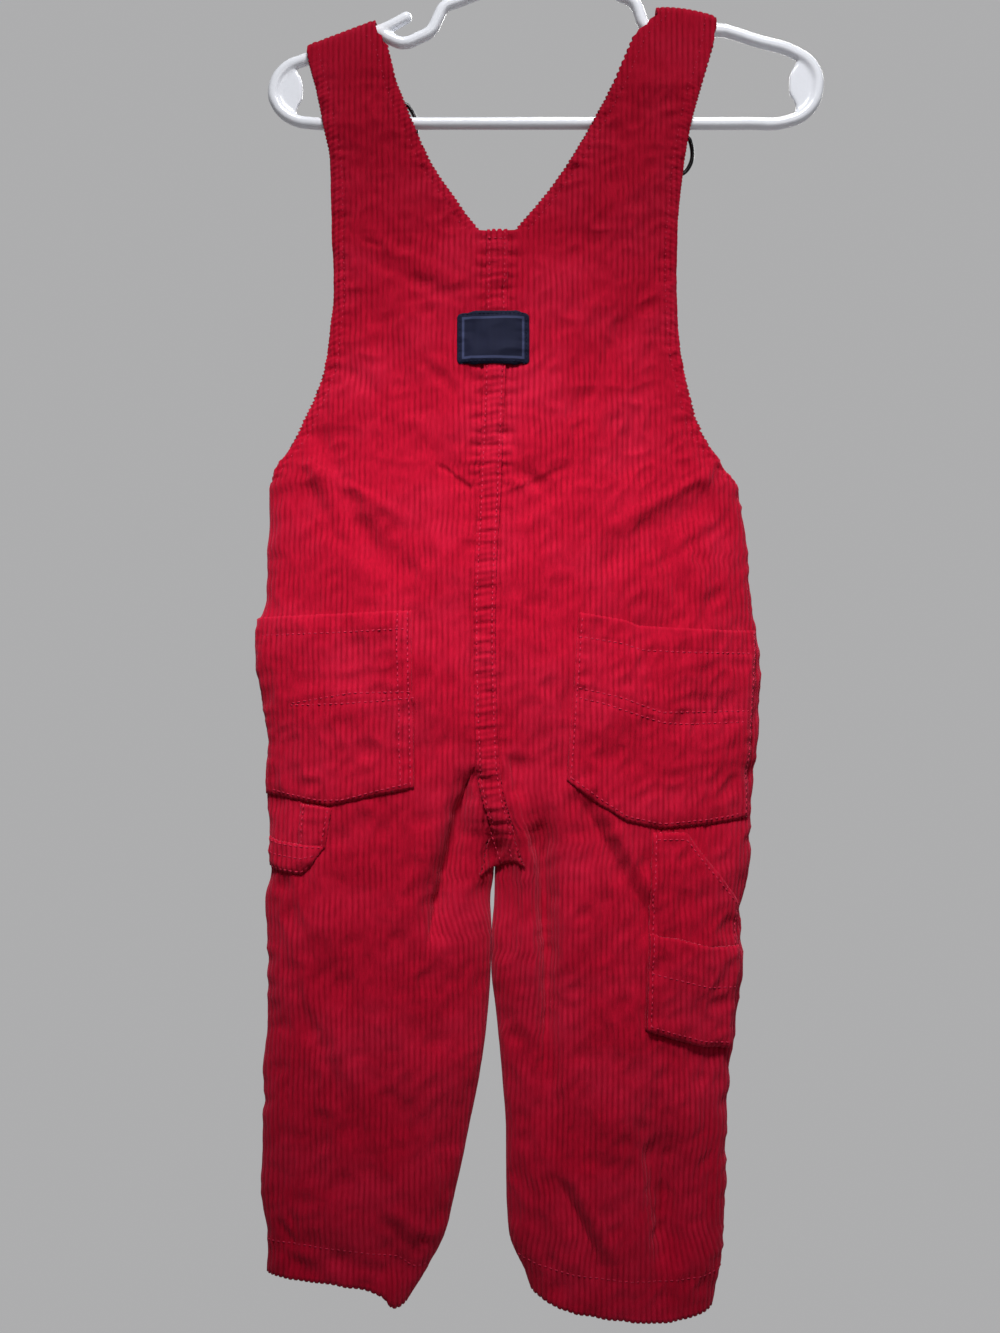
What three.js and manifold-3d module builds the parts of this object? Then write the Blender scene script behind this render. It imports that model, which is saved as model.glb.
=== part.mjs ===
import * as THREE from "three";
import Module from "manifold-3d";
import { mergeVertices } from "three/addons/utils/BufferGeometryUtils.js";

// Bib overalls on a child's hanger, seen from their back (-Y). Millimetres, +Z up.
// Origin: where the hook rests on its rod. "drop" is the distance below that point.

// Cloth
const WALL = 1.8;
const SEAM_GAP = 0.3;
const LAID_GAP = 0.6;
const POCKET_WALL = 1.5;
const BAND_WALL = 1.1;
const SECTION_POWER = 2.3;

// Hanger
const TUBE_RADIUS = 3.2;
const BAR_DROP = 142;
const WEB_THICK = 2.4;
const HOOK_RADIUS = 21;
const ARM_CLEAR = 0.35;

// Centre-back seam and crotch
const FELL_WIDTH = 11;
const CROTCH_DROP = 530;
const CROTCH_BLEND = 48;
const NECK_DROP = 201;
const SIDE_TOP_DROP = 329;

// Buckles and bib buttons
const WIRE_RADIUS = 1.1;
const BUCKLE_WIDTH = 46;
const BUCKLE_FRAME = 17;
const BUCKLE_LENGTH = 36;
const BUTTON_RADIUS = 8;

// Outline and depth by drop: left and right edge, inner edge of each side (the seam
// above the crotch, the inseams below it), depth of the back and of the front.
const BODY = [
  { drop: 201, left: -111, innerL: -25.4, innerR: -25.1, right: 68, back: 9, front: 30 },
  { drop: 229, left: -110, innerL: -25.8, innerR: -25.5, right: 67.6, back: 11, front: 28 },
  { drop: 250, left: -112, innerL: -26.2, innerR: -25.9, right: 68.6, back: 12, front: 26 },
  { drop: 270, left: -115, innerL: -26.7, innerR: -26.4, right: 71, back: 13, front: 24 },
  { drop: 291, left: -122.7, innerL: -27.4, innerR: -27.1, right: 76, back: 14, front: 22 },
  { drop: 312, left: -133.6, innerL: -28.3, innerR: -28, right: 84.8, back: 15, front: 20 },
  { drop: 322, left: -140.6, innerL: -28.7, innerR: -28.4, right: 93, back: 15.5, front: 19 },
  { drop: 333, left: -143, innerL: -29.1, innerR: -28.8, right: 101, back: 16, front: 18.5 },
  { drop: 364, left: -144.4, innerL: -30.8, innerR: -30.5, right: 104, back: 18, front: 19 },
  { drop: 392, left: -145.4, innerL: -31.8, innerR: -31.5, right: 107, back: 20, front: 20 },
  { drop: 408, left: -150, innerL: -31.9, innerR: -31.6, right: 110, back: 20.5, front: 20.5 },
  { drop: 437, left: -148.2, innerL: -31.4, innerR: -31.1, right: 111, back: 21, front: 21 },
  { drop: 468, left: -144.8, innerL: -30.3, innerR: -30, right: 110, back: 20.5, front: 21 },
  { drop: 489, left: -145, innerL: -28.6, innerR: -28.3, right: 107.6, back: 20, front: 20 },
  { drop: 510, left: -144, innerL: -26.5, innerR: -26.2, right: 105.6, back: 19, front: 19 },
  { drop: 530, left: -144, innerL: -27, innerR: -26.7, right: 105.4, back: 18.5, front: 18 },
  { drop: 546, left: -145.6, innerL: -29.4, innerR: -26.8, right: 102.4, back: 18, front: 17 },
  { drop: 572, left: -144, innerL: -28.9, innerR: -28.4, right: 101.8, back: 18, front: 16.5 },
  { drop: 603, left: -144.6, innerL: -30.2, innerR: -26, right: 99.3, back: 17.5, front: 16 },
  { drop: 634, left: -146, innerL: -34.3, innerR: -22.9, right: 95.2, back: 17, front: 16 },
  { drop: 666, left: -147.6, innerL: -40.6, innerR: -20.8, right: 93, back: 16.5, front: 15.5 },
  { drop: 697, left: -146.8, innerL: -47.3, innerR: -20.6, right: 92, back: 16, front: 15 },
  { drop: 718, left: -144, innerL: -52.6, innerR: -19.2, right: 90.4, back: 15.5, front: 14.5 },
  { drop: 738, left: -145, innerL: -62.6, innerR: -11, right: 89.6, back: 15, front: 14 },
  { drop: 756, left: -145, innerL: -74.4, innerR: -5, right: 87, back: 14.5, front: 13.5 },
  { drop: 772, left: -145, innerL: -84, innerR: -1, right: 85, back: 14, front: 13 },
];

// Back straps from the V up to the level of the hanger's arm.
const STRAP_LEFT = [
  { drop: 200.2, outer: -111, inner: -34.6, edge: 4.8, mid: 9 },
  { drop: 196, outer: -111, inner: -38, edge: 4.9, mid: 8.8 },
  { drop: 185, outer: -111.3, inner: -45.8, edge: 5.1, mid: 8.2 },
  { drop: 164, outer: -111.8, inner: -59.8, edge: 5.5, mid: 7.2 },
  { drop: 143.5, outer: -115.4, inner: -69.2, edge: 5.8, mid: 6.4 },
  { drop: 123, outer: -119.6, inner: -77.4, edge: 5.8, mid: 6 },
];
const STRAP_RIGHT = [
  { drop: 200.2, outer: 68, inner: -16, edge: 4.8, mid: 9 },
  { drop: 196, outer: 68.2, inner: -12.6, edge: 4.9, mid: 8.8 },
  { drop: 185, outer: 69.2, inner: -3.6, edge: 5.1, mid: 8.2 },
  { drop: 164, outer: 71.4, inner: 12, edge: 5.5, mid: 7.2 },
  { drop: 143.5, outer: 74.8, inner: 23.8, edge: 5.8, mid: 6.4 },
  { drop: 123, outer: 80.4, inner: 34.8, edge: 5.8, mid: 6 },
];

// Lines across a strap where it goes over the arm and down to its buckle.
const OVER_LEFT = {
  behind: { outerX: -122.6, outerDrop: 112, innerX: -82, innerDrop: 104 },
  top: { outerX: -123.6, outerDrop: 101.8, innerX: -88.6, innerDrop: 88.6 },
  front: { outerX: -123, outerDrop: 109, innerX: -86, innerDrop: 98 },
  low: { outerX: -111.4, outerDrop: 137, innerX: -74.4, innerDrop: 129 },
};
const OVER_RIGHT = {
  behind: { outerX: 86.2, outerDrop: 103, innerX: 45.4, innerDrop: 98 },
  top: { outerX: 88, outerDrop: 87, innerX: 57, innerDrop: 82.2, crown: 1.6 },
  front: { outerX: 87.6, outerDrop: 98, innerX: 50, innerDrop: 92 },
  low: { outerX: 73.6, outerDrop: 146, innerX: 36.4, innerDrop: 142 },
};
const OVER_RADIUS = TUBE_RADIUS + ARM_CLEAR + WALL;

// Folds on the back: raised where lift is above 0, sunk where it is below.
const BACK_FOLDS = [
  { x1: -56, drop1: 318, x2: -37, drop2: 331, half: 8, lift: -2.4 },
  { x1: -132, drop1: 330, x2: -70, drop2: 378, half: 13, lift: -2.6 },
  { x1: 92, drop1: 334, x2: 26, drop2: 372, half: 13, lift: -2.8 },
  { x1: -96, drop1: 230, x2: -60, drop2: 300, half: 12, lift: -1.4 },
  { x1: 52, drop1: 228, x2: 14, drop2: 300, half: 12, lift: -1.6 },
  { x1: -38, drop1: 470, x2: -60, drop2: 562, half: 9, lift: -4 },
  { x1: -50, drop1: 490, x2: -76, drop2: 560, half: 9, lift: 1.8 },
  { x1: -14, drop1: 486, x2: -8, drop2: 590, half: 8, lift: 2.6 },
  { x1: -2, drop1: 486, x2: 2, drop2: 654, half: 9, lift: -4.6 },
  { x1: 22, drop1: 500, x2: 58, drop2: 568, half: 8, lift: -2.8 },
  { x1: 34, drop1: 504, x2: 46, drop2: 556, half: 8, lift: 1.6 },
  { x1: 6, drop1: 686, x2: 30, drop2: 738, half: 10, lift: -3 },
  { x1: 56, drop1: 664, x2: 61, drop2: 732, half: 10, lift: -3.6 },
  { x1: -140, drop1: 712, x2: -122, drop2: 734, half: 9, lift: -2.2 },
  { x1: -84, drop1: 716, x2: -64, drop2: 742, half: 9, lift: -2.2 },
  { x1: 46, drop1: 398, x2: 55, drop2: 440, half: 8, lift: -1.8 },
  { x1: -104, drop1: 590, x2: -110, drop2: 690, half: 13, lift: 1.6 },
  { x1: 44, drop1: 600, x2: 34, drop2: 680, half: 13, lift: 1.4 },
];
// Like folds on the hidden front.
const FRONT_FOLDS = [
  { x1: -120, drop1: 336, x2: -60, drop2: 384, half: 13, lift: -2.6 },
  { x1: 84, drop1: 340, x2: 22, drop2: 380, half: 13, lift: -2.6 },
  { x1: -42, drop1: 470, x2: -72, drop2: 560, half: 10, lift: -3.6 },
  { x1: -12, drop1: 474, x2: 20, drop2: 566, half: 10, lift: -3.6 },
  { x1: -100, drop1: 560, x2: -92, drop2: 660, half: 11, lift: -2.4 },
  { x1: 44, drop1: 580, x2: 36, drop2: 690, half: 11, lift: -2.6 },
  { x1: -124, drop1: 690, x2: -104, drop2: 730, half: 10, lift: -2.4 },
  { x1: 18, drop1: 690, x2: 44, drop2: 730, half: 10, lift: -2.6 },
];
const BIB_FOLDS = [
  { x1: -70, drop1: 190, x2: -46, drop2: 300, half: 14, lift: -3 },
  { x1: 36, drop1: 196, x2: 14, drop2: 300, half: 14, lift: -3 },
  { x1: -18, drop1: 214, x2: -16, drop2: 290, half: 12, lift: 2 },
];

const RED = { color: 0xa80a24, roughness: 0.9, metalness: 0 };
const PATCH = { color: 0x1c2148, roughness: 0.8, metalness: 0 };
const WHITE = { color: 0xe6e8f0, roughness: 0.25, metalness: 0 };
const METAL = { color: 0x3a3a3e, roughness: 0.3, metalness: 1 };

function clamp01(t) {
  return Math.min(1, Math.max(0, t));
}

function smooth(t) {
  const s = clamp01(t);
  return s * s * (3 - 2 * s);
}

function mix(a, b, t) {
  return a + (b - a) * t;
}

// Monotone cubic through one named column of a table sorted by drop.
function column(table, name, drop) {
  const down = table[0].drop < table[table.length - 1].drop;
  const rows = down ? table : [...table].reverse();
  const last = rows.length - 1;
  if (drop <= rows[0].drop) return rows[0][name];
  if (drop >= rows[last].drop) return rows[last][name];
  let k = 0;
  while (rows[k + 1].drop < drop) k += 1;
  const slope = (i) => {
    if (i < 0 || i >= last) return null;
    return (rows[i + 1][name] - rows[i][name]) / (rows[i + 1].drop - rows[i].drop);
  };
  const tangent = (i) => {
    const a = slope(i - 1);
    const b = slope(i);
    if (a === null) return b;
    if (b === null) return a;
    if (a * b <= 0) return 0;
    return (2 * a * b) / (a + b);
  };
  const span = rows[k + 1].drop - rows[k].drop;
  const t = (drop - rows[k].drop) / span;
  const t2 = t * t;
  const t3 = t2 * t;
  return (
    (2 * t3 - 3 * t2 + 1) * rows[k][name] +
    (t3 - 2 * t2 + t) * span * tangent(k) +
    (3 * t2 - 2 * t3) * rows[k + 1][name] +
    (t3 - t2) * span * tangent(k + 1)
  );
}

// Share of the width reached at column u: slow at the edge, where the cloth turns round.
function fromEdge(u) {
  const turn = 0.13;
  const whole = Math.hypot(1, 1 / turn) - 1;
  return (Math.hypot(1, u / turn) - 1) / whole;
}

function fromBothEdges(u) {
  return u < 0.5 ? 0.5 * fromEdge(2 * u) : 1 - 0.5 * fromEdge(2 - 2 * u);
}

function arch(t) {
  const rest = Math.max(0, 1 - Math.abs(t) ** SECTION_POWER);
  return rest ** (1 / SECTION_POWER);
}

// Height of all folds at a point.
function foldLift(folds, x, drop) {
  let lift = 0;
  for (const fold of folds) {
    const runX = fold.x2 - fold.x1;
    const runDrop = fold.drop2 - fold.drop1;
    const length = Math.hypot(runX, runDrop);
    const along = ((x - fold.x1) * runX + (drop - fold.drop1) * runDrop) / length;
    const aside = ((x - fold.x1) * runDrop - (drop - fold.drop1) * runX) / length;
    const q = Math.abs(aside) / fold.half;
    if (q >= 1) continue;
    const fade = 0.3 * length;
    const ends = smooth(along / fade + 0.3) * smooth((length - along) / fade + 0.3);
    lift += fold.lift * (1 - q * q) ** 2 * ends;
  }
  return lift;
}

function crotchShare(drop) {
  return smooth((drop - CROTCH_DROP + CROTCH_BLEND) / CROTCH_BLEND) ** 1.4;
}

// One side of the body or a leg: u runs from the outer edge (0) to the seam (1).
// face is -1 for the back and 1 for the front.
function bodyPoint(side, face, u, drop) {
  const outer = column(BODY, side < 0 ? "left" : "right", drop);
  const inner = column(BODY, side < 0 ? "innerL" : "innerR", drop);
  const depth = column(BODY, face < 0 ? "back" : "front", drop);
  const split = crotchShare(drop);
  const sheet = face < 0 ? 1 - smooth((drop - 300) / 34) : 0;
  const round = mix(fromEdge(u), fromBothEdges(u), split);
  const share = mix(round, u, sheet);
  const tube = mix(arch(1 - share), arch(2 * share - 1), split);
  const free = (4.6 + (depth - 4.6) * (1 - (1 - share) ** 2)) / depth;
  const x = mix(outer, inner, share);
  const inset = Math.min(1, (share * Math.abs(inner - outer)) / 14);
  const insetIn = mix(1, Math.min(1, ((1 - share) * Math.abs(inner - outer)) / 14), split);
  const folds = face < 0 ? BACK_FOLDS : FRONT_FOLDS;
  const lift = foldLift(folds, x, drop) * smooth(inset) * smooth(insetIn);
  const y = face * (SEAM_GAP / 2 + depth * mix(tube, free, sheet) + lift);
  return new THREE.Vector3(x, y, -drop);
}

// Outer surface of the back at a place given by x and drop.
function backAt(x, drop) {
  const seam = (column(BODY, "innerL", drop) + column(BODY, "innerR", drop)) / 2;
  const side = x < seam ? -1 : 1;
  let low = 0;
  let high = 1;
  for (let k = 0; k < 30; k += 1) {
    const u = (low + high) / 2;
    const past = (bodyPoint(side, -1, u, drop).x - x) * side;
    if (past > 0) low = u;
    else high = u;
  }
  return bodyPoint(side, -1, (low + high) / 2, drop);
}

// Hem lines: drop of the cut edge at column u.
function hemDrop(side, u) {
  if (side < 0) {
    const lobe = 4.5 * Math.exp(-(((u - 0.86) / 0.08) ** 2));
    return mix(737, 752, u) - 5 * (1 - (2 * u - 1) ** 2) + lobe;
  }
  return mix(753, 745, u) + 8.5 * (1 - Math.abs(2 * u - 1) ** 2.6);
}

function legRow(side, face, drop, hemShare, count) {
  const row = [];
  const level = side < 0 ? 742 : 756;
  for (let j = 0; j <= count; j += 1) {
    const u = j / count;
    const rise = face > 0 ? 3 : 0;
    const sag = (hemDrop(side, u) - level - rise) * hemShare;
    row.push(bodyPoint(side, face, u, drop + sag));
  }
  return row;
}

function legRows(side, face, count, steps, top) {
  const level = side < 0 ? 742 : 756;
  const rows = [legRow(side, face, level, 1, count)];
  for (const step of steps) {
    const drop = level - step;
    if (drop <= top) break;
    rows.push(legRow(side, face, drop, 1 - smooth(step / 90), count));
  }
  return rows;
}

// Line across a strap between two end points, at one depth.
function strapLine(line, y, count) {
  const row = [];
  for (let j = 0; j <= count; j += 1) {
    const u = j / count;
    const crown = 4 * u * (1 - u) * (line.crown || 0);
    const drop = mix(line.outerDrop, line.innerDrop, u) - crown;
    row.push(new THREE.Vector3(mix(line.outerX, line.innerX, u), y, -drop));
  }
  return row;
}

function strapRows(table, over, count) {
  const rows = [];
  for (const line of table) {
    const row = [];
    for (let j = 0; j <= count; j += 1) {
      const u = j / count;
      const bulge = (line.mid - line.edge) * (1 - (1 - u) ** 2);
      const x = mix(line.outer, line.inner, u);
      row.push(new THREE.Vector3(x, -line.edge - bulge, -line.drop));
    }
    rows.push(row);
  }
  rows.push(strapLine(over.behind, -OVER_RADIUS - 0.1, count));
  const top = strapLine(over.top, 0, count);
  for (let k = 0; k <= 6; k += 1) {
    const turn = ((k - 3) / 3) * (Math.PI / 2);
    const row = top.map((p) => {
      const rise = OVER_RADIUS * (Math.cos(turn) - 1);
      return new THREE.Vector3(p.x, OVER_RADIUS * Math.sin(turn), p.z + rise);
    });
    rows.push(row);
  }
  rows.push(strapLine(over.front, OVER_RADIUS + 0.1, count));
  for (let k = 1; k <= 3; k += 1) {
    rows.push(strapLine(between(over.front, over.low, k / 3), OVER_RADIUS + 0.2, count));
  }
  // The end turns round the buckle's bar and lies back on itself.
  const bar = WIRE_RADIUS + 0.4;
  for (let k = 1; k <= 5; k += 1) {
    const turn = (k / 5) * Math.PI;
    const y = OVER_RADIUS + 0.2 + bar * (1 - Math.cos(turn));
    const line = shifted(over.low, bar * Math.sin(turn));
    rows.push(strapLine(line, y, count));
  }
  const back = OVER_RADIUS + 0.2 + 2 * bar;
  rows.push(strapLine(shifted(over.low, -9), back, count));
  rows.push(strapLine(shifted(over.low, -18), back, count));
  return rows;
}

function between(a, b, t) {
  return {
    outerX: mix(a.outerX, b.outerX, t),
    outerDrop: mix(a.outerDrop, b.outerDrop, t),
    innerX: mix(a.innerX, b.innerX, t),
    innerDrop: mix(a.innerDrop, b.innerDrop, t),
  };
}

function shifted(line, down) {
  const lean = (line.outerDrop - line.innerDrop) / (line.innerX - line.outerX);
  return {
    outerX: line.outerX + down * lean,
    outerDrop: line.outerDrop + down,
    innerX: line.innerX + down * lean,
    innerDrop: line.innerDrop + down,
  };
}

// Closed shell from rows of outer points: the inner side is one wall further in.
// At a seam the wall stands square to that of the next piece.
function shell(rows, wall, flip, waist) {
  const high = rows.length;
  const wide = rows[0].length;
  const points = [];
  const inner = [];
  for (let i = 0; i < high; i += 1) {
    for (let j = 0; j < wide; j += 1) {
      const across = rows[i][Math.min(j + 1, wide - 1)].clone();
      across.sub(rows[i][Math.max(j - 1, 0)]);
      const along = rows[Math.min(i + 1, high - 1)][j].clone();
      along.sub(rows[Math.max(i - 1, 0)][j]);
      const normal = across.cross(along).normalize().multiplyScalar(flip ? 1 : -1);
      const sideEdge = j === 0 || j === wide - 1;
      if (j === wide - 1 && Math.abs(normal.y) > 0.6) normal.setX(0).normalize();
      if (sideEdge && Math.abs(rows[i][j].y) < 0.4) normal.setY(0).normalize();
      if (i === waist) normal.setZ(0).normalize();
      points.push(rows[i][j]);
      inner.push(rows[i][j].clone().addScaledVector(normal, -wall));
    }
  }
  const index = [];
  const count = high * wide;
  const quad = (a, b, c, d) => {
    if (flip) index.push(a, b, c, a, c, d);
    else index.push(a, c, b, a, d, c);
  };
  for (let i = 0; i + 1 < high; i += 1) {
    for (let j = 0; j + 1 < wide; j += 1) {
      const a = i * wide + j;
      const b = a + 1;
      const c = b + wide;
      const d = a + wide;
      quad(a, b, c, d);
      quad(count + a, count + d, count + c, count + b);
    }
  }
  const rim = (a, b) => quad(b, a, count + a, count + b);
  for (let j = 0; j + 1 < wide; j += 1) {
    rim(j, j + 1);
    rim((high - 1) * wide + j + 1, (high - 1) * wide + j);
  }
  for (let i = 0; i + 1 < high; i += 1) {
    rim((i + 1) * wide, i * wide);
    rim(i * wide + wide - 1, (i + 1) * wide + wide - 1);
  }
  return solidFrom([...points, ...inner], index);
}

function solidFrom(points, index) {
  const geometry = new THREE.BufferGeometry();
  const flat = points.flatMap((p) => [p.x, p.y, p.z]);
  geometry.setAttribute("position", new THREE.Float32BufferAttribute(flat, 3));
  geometry.setIndex(index);
  geometry.computeVertexNormals();
  return geometry;
}

// Round rod along a path of points: closed into a ring, or with capped ends.
function rod(path, radius, sides, closed) {
  const count = path.length;
  const points = [];
  const index = [];
  let frame = new THREE.Vector3(0, 1, 0);
  for (let i = 0; i < count; i += 1) {
    const ahead = path[closed ? (i + 1) % count : Math.min(i + 1, count - 1)];
    const behind = path[closed ? (i + count - 1) % count : Math.max(i - 1, 0)];
    const along = ahead.clone().sub(behind).normalize();
    frame = frame.clone().addScaledVector(along, -frame.dot(along)).normalize();
    const aside = along.clone().cross(frame);
    for (let k = 0; k < sides; k += 1) {
      const turn = (2 * Math.PI * k) / sides;
      const p = path[i].clone().addScaledVector(frame, radius * Math.cos(turn));
      points.push(p.addScaledVector(aside, radius * Math.sin(turn)));
    }
  }
  const rings = closed ? count : count - 1;
  for (let i = 0; i < rings; i += 1) {
    for (let k = 0; k < sides; k += 1) {
      const a = i * sides + k;
      const b = i * sides + ((k + 1) % sides);
      const c = ((i + 1) % count) * sides + ((k + 1) % sides);
      const d = ((i + 1) % count) * sides + k;
      index.push(a, b, c, a, c, d);
    }
  }
  if (!closed) {
    points.push(path[0].clone(), path[count - 1].clone());
    const first = points.length - 2;
    const last = points.length - 1;
    for (let k = 0; k < sides; k += 1) {
      const next = (k + 1) % sides;
      index.push(first, next, k);
      index.push(last, (count - 1) * sides + k, (count - 1) * sides + next);
    }
  }
  return solidFrom(points, index);
}

function curve(points, closed, steps) {
  const line = new THREE.CatmullRomCurve3(points, closed, "centripetal");
  const path = line.getSpacedPoints(steps);
  if (closed) path.pop();
  return path;
}

const at = (x, drop, y = 0) => new THREE.Vector3(x, y, -drop);

const wasm = await Module();
wasm.setup();

function manifold(geometry) {
  const plain = geometry.clone();
  plain.deleteAttribute("normal");
  plain.deleteAttribute("uv");
  const merged = mergeVertices(plain, 1e-4);
  const mesh = new wasm.Mesh({
    numProp: 3,
    vertProperties: merged.attributes.position.array,
    triVerts: new Uint32Array(merged.index.array),
  });
  return new wasm.Manifold(mesh);
}

function fromManifold(solid) {
  const mesh = solid.getMesh();
  const geometry = new THREE.BufferGeometry();
  const points = new THREE.BufferAttribute(new Float32Array(mesh.vertProperties), 3);
  geometry.setAttribute("position", points);
  geometry.setIndex(new THREE.BufferAttribute(new Uint32Array(mesh.triVerts), 1));
  geometry.computeVertexNormals();
  return geometry;
}

// Hanger: bar, ends, arms with a notch each, a web in each end, neck and hook.
function hanger() {
  const frame = [
    at(-105, BAR_DROP), at(-60, BAR_DROP), at(0, BAR_DROP), at(60, BAR_DROP),
    at(105, BAR_DROP), at(124, BAR_DROP - 0.6), at(136, BAR_DROP - 6.5),
    at(141.2, BAR_DROP - 18), at(139, BAR_DROP - 29), at(130, BAR_DROP - 36.5),
    at(108, 98.6), at(97, 95), at(89, 93.4), at(83, 96.6), at(76, 99.6), at(68, 100.6),
    at(60, 98.2), at(54, 94.4), at(50.2, 89.4), at(48.4, 84), at(46, 79.4), at(40, 76),
    at(20, 68.6), at(7, 64),
    at(-7, 64), at(-24, 70.4), at(-46, 78.6), at(-53, 81.6), at(-56.4, 87.6),
    at(-60, 94), at(-66, 97.4), at(-74, 100.2), at(-81, 98), at(-88, 94.6),
    at(-100, 98.6), at(-124, 108.4), at(-136, 114), at(-141.4, 124),
    at(-140, 132), at(-132, 139.6), at(-120, BAR_DROP),
  ];
  let body = manifold(rod(curve(frame, true, 84), TUBE_RADIUS, 8, true));
  const prongs = [
    [at(-92, 96), at(-82, 92), at(-72.6, 87)],
    [at(92, 94.4), at(83, 91.2), at(74, 88.4)],
  ];
  for (const prong of prongs) {
    body = body.add(manifold(rod(prong, TUBE_RADIUS - 0.4, 8, false)));
  }
  const hook = [at(0, 64), at(0, 54), at(0.6, 46)];
  for (let k = 0; k <= 12; k += 1) {
    const turn = -1.15 + (k / 12) * 4.5;
    const drop = HOOK_RADIUS - TUBE_RADIUS - HOOK_RADIUS * Math.sin(turn);
    hook.push(at(HOOK_RADIUS * Math.cos(turn), drop));
  }
  body = body.add(manifold(rod(curve(hook, false, 26), TUBE_RADIUS, 8, false)));
  for (const side of [-1, 1]) body = body.add(manifold(web(side)));
  return fromManifold(body);
}

// Flat web that fills one end, with a wavy inner edge.
function web(side) {
  const shape = new THREE.Shape();
  const high = side < 0 ? 113 : 110;
  shape.moveTo(side * 139, -132);
  shape.lineTo(side * 139, -high - 8);
  shape.lineTo(side * 131, -high + 1);
  shape.quadraticCurveTo(side * 129, -high - 5, side * 125.6, -high - 9);
  shape.quadraticCurveTo(side * 123, -high - 15, side * 127, -high - 19);
  shape.quadraticCurveTo(side * 131, -high - 23, side * 128, -141);
  shape.lineTo(side * 131, -140.6);
  shape.closePath();
  const geometry = new THREE.ExtrudeGeometry(shape, {
    depth: WEB_THICK,
    bevelEnabled: false,
    curveSegments: 5,
  });
  geometry.rotateX(Math.PI / 2);
  geometry.translate(0, WEB_THICK / 2, 0);
  return geometry;
}

// Bib: side edges by drop, depth of the edges and of the middle.
const BIB = [
  { drop: 150, left: -101, right: 66, edge: 5.5, mid: 33 },
  { drop: 190, left: -102, right: 66, edge: 5.5, mid: 33 },
  { drop: 230, left: -103.6, right: 66.4, edge: 6, mid: 28 },
  { drop: 262, left: -107, right: 68, edge: 7, mid: 24 },
  { drop: 285, left: -113, right: 71, edge: 8, mid: 21 },
  { drop: 304, left: -122, right: 77, edge: 8, mid: 19.4 },
  { drop: 318, left: -132, right: 87, edge: 6, mid: 18.8 },
  { drop: 329, left: -142, right: 98, edge: 4, mid: 18.5 },
];
const BIB_TOP = { leftDrop: 154.3, rightDrop: 165.8, sag: 33.5 };
const BUTTON_DOWN = 31;
const BIB_COLUMNS = 14;
const BIB_ROWS = 11;

// Centre and down direction of a buckle from the end line of its strap.
function buckleFrame(over) {
  const low = over.low;
  const across = at(low.innerX - low.outerX, low.innerDrop - low.outerDrop).normalize();
  if (across.x < 0) across.negate();
  const down = new THREE.Vector3(across.z, 0, -across.x);
  const y = OVER_RADIUS + 0.6 + WIRE_RADIUS;
  const middle = at((low.outerX + low.innerX) / 2, (low.outerDrop + low.innerDrop) / 2, y);
  return { across, down, middle };
}

function buttonPlace(over) {
  const frame = buckleFrame(over);
  return frame.middle.clone().addScaledVector(frame.down, BUTTON_DOWN);
}

function bibPoint(s, v) {
  const buttonL = buttonPlace(OVER_LEFT).x;
  const buttonR = buttonPlace(OVER_RIGHT).x;
  const half = (buttonR - buttonL) / 2;
  const side = s < 0 ? -1 : 1;
  const u = 1 - Math.abs(s);
  const flat = smooth(v * 2.6);
  const share = mix(fromEdge(u), u, flat);
  const topX = mix(side < 0 ? -101 : 66, -17.4, u);
  const inward = 1 - Math.abs(topX - (buttonL + buttonR) / 2) / half;
  const dip = clamp01(1.18 * inward - 0.16);
  const hollow = 1 - (1 - dip) ** 2;
  const topDrop = mix(BIB_TOP.leftDrop, BIB_TOP.rightDrop, (topX - buttonL) / (2 * half));
  const drop = mix(SIDE_TOP_DROP, topDrop + BIB_TOP.sag * hollow, v);
  const seam = column(BODY, "innerL", Math.max(drop, 201));
  const outer = mix(
    column(BIB, side < 0 ? "left" : "right", drop),
    column(BODY, side < 0 ? "left" : "right", drop) - side,
    1 - smooth(v * 6),
  );
  const x = mix(outer, seam, share);
  const depth = column(BIB, "mid", drop);
  const edge = column(BIB, "edge", drop);
  const lift = foldLift(BIB_FOLDS, x, drop) * smooth(share * 4) * smooth(v * 5);
  const worn = 0.15 + depth * arch(1 - share);
  const hung = edge + (depth - edge) * mix(1 - (1 - share) ** 2, hollow ** 1.5, smooth(v / 0.8));
  return new THREE.Vector3(x, mix(worn, hung, flat) + lift, -drop);
}

function bib() {
  const rows = [];
  for (let i = 0; i <= BIB_ROWS; i += 1) {
    const row = [];
    for (let j = 0; j <= BIB_COLUMNS; j += 1) {
      row.push(bibPoint((2 * j) / BIB_COLUMNS - 1, i / BIB_ROWS));
    }
    rows.push(row);
  }
  return shell(rows, WALL, false, 0);
}

// Distances of the rows above the hem.
const HEM_STEPS = [7, 16];
function levels(first, last, step) {
  const list = [...HEM_STEPS];
  const count = Math.round((last - first) / step);
  for (let k = 0; k <= count; k += 1) list.push(mix(first, last, k / count));
  return list;
}

const COLUMNS = 12;
const LEVEL = { left: 742, right: 756 };

function backPanel(side) {
  const level = side < 0 ? LEVEL.left : LEVEL.right;
  const rows = legRows(side, -1, COLUMNS, levels(28, level - NECK_DROP - 0.2, 13), NECK_DROP);
  const table = side < 0 ? STRAP_LEFT : STRAP_RIGHT;
  rows.push(...strapRows(table, side < 0 ? OVER_LEFT : OVER_RIGHT, COLUMNS));
  return shell(rows, WALL, side < 0);
}

function frontPanel(side) {
  const level = side < 0 ? LEVEL.left : LEVEL.right;
  const top = SIDE_TOP_DROP + SEAM_GAP;
  const rows = legRows(side, 1, COLUMNS, levels(30, level - top - 0.01, 19), top);
  return shell(rows, WALL, side > 0, rows.length - 1);
}

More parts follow.
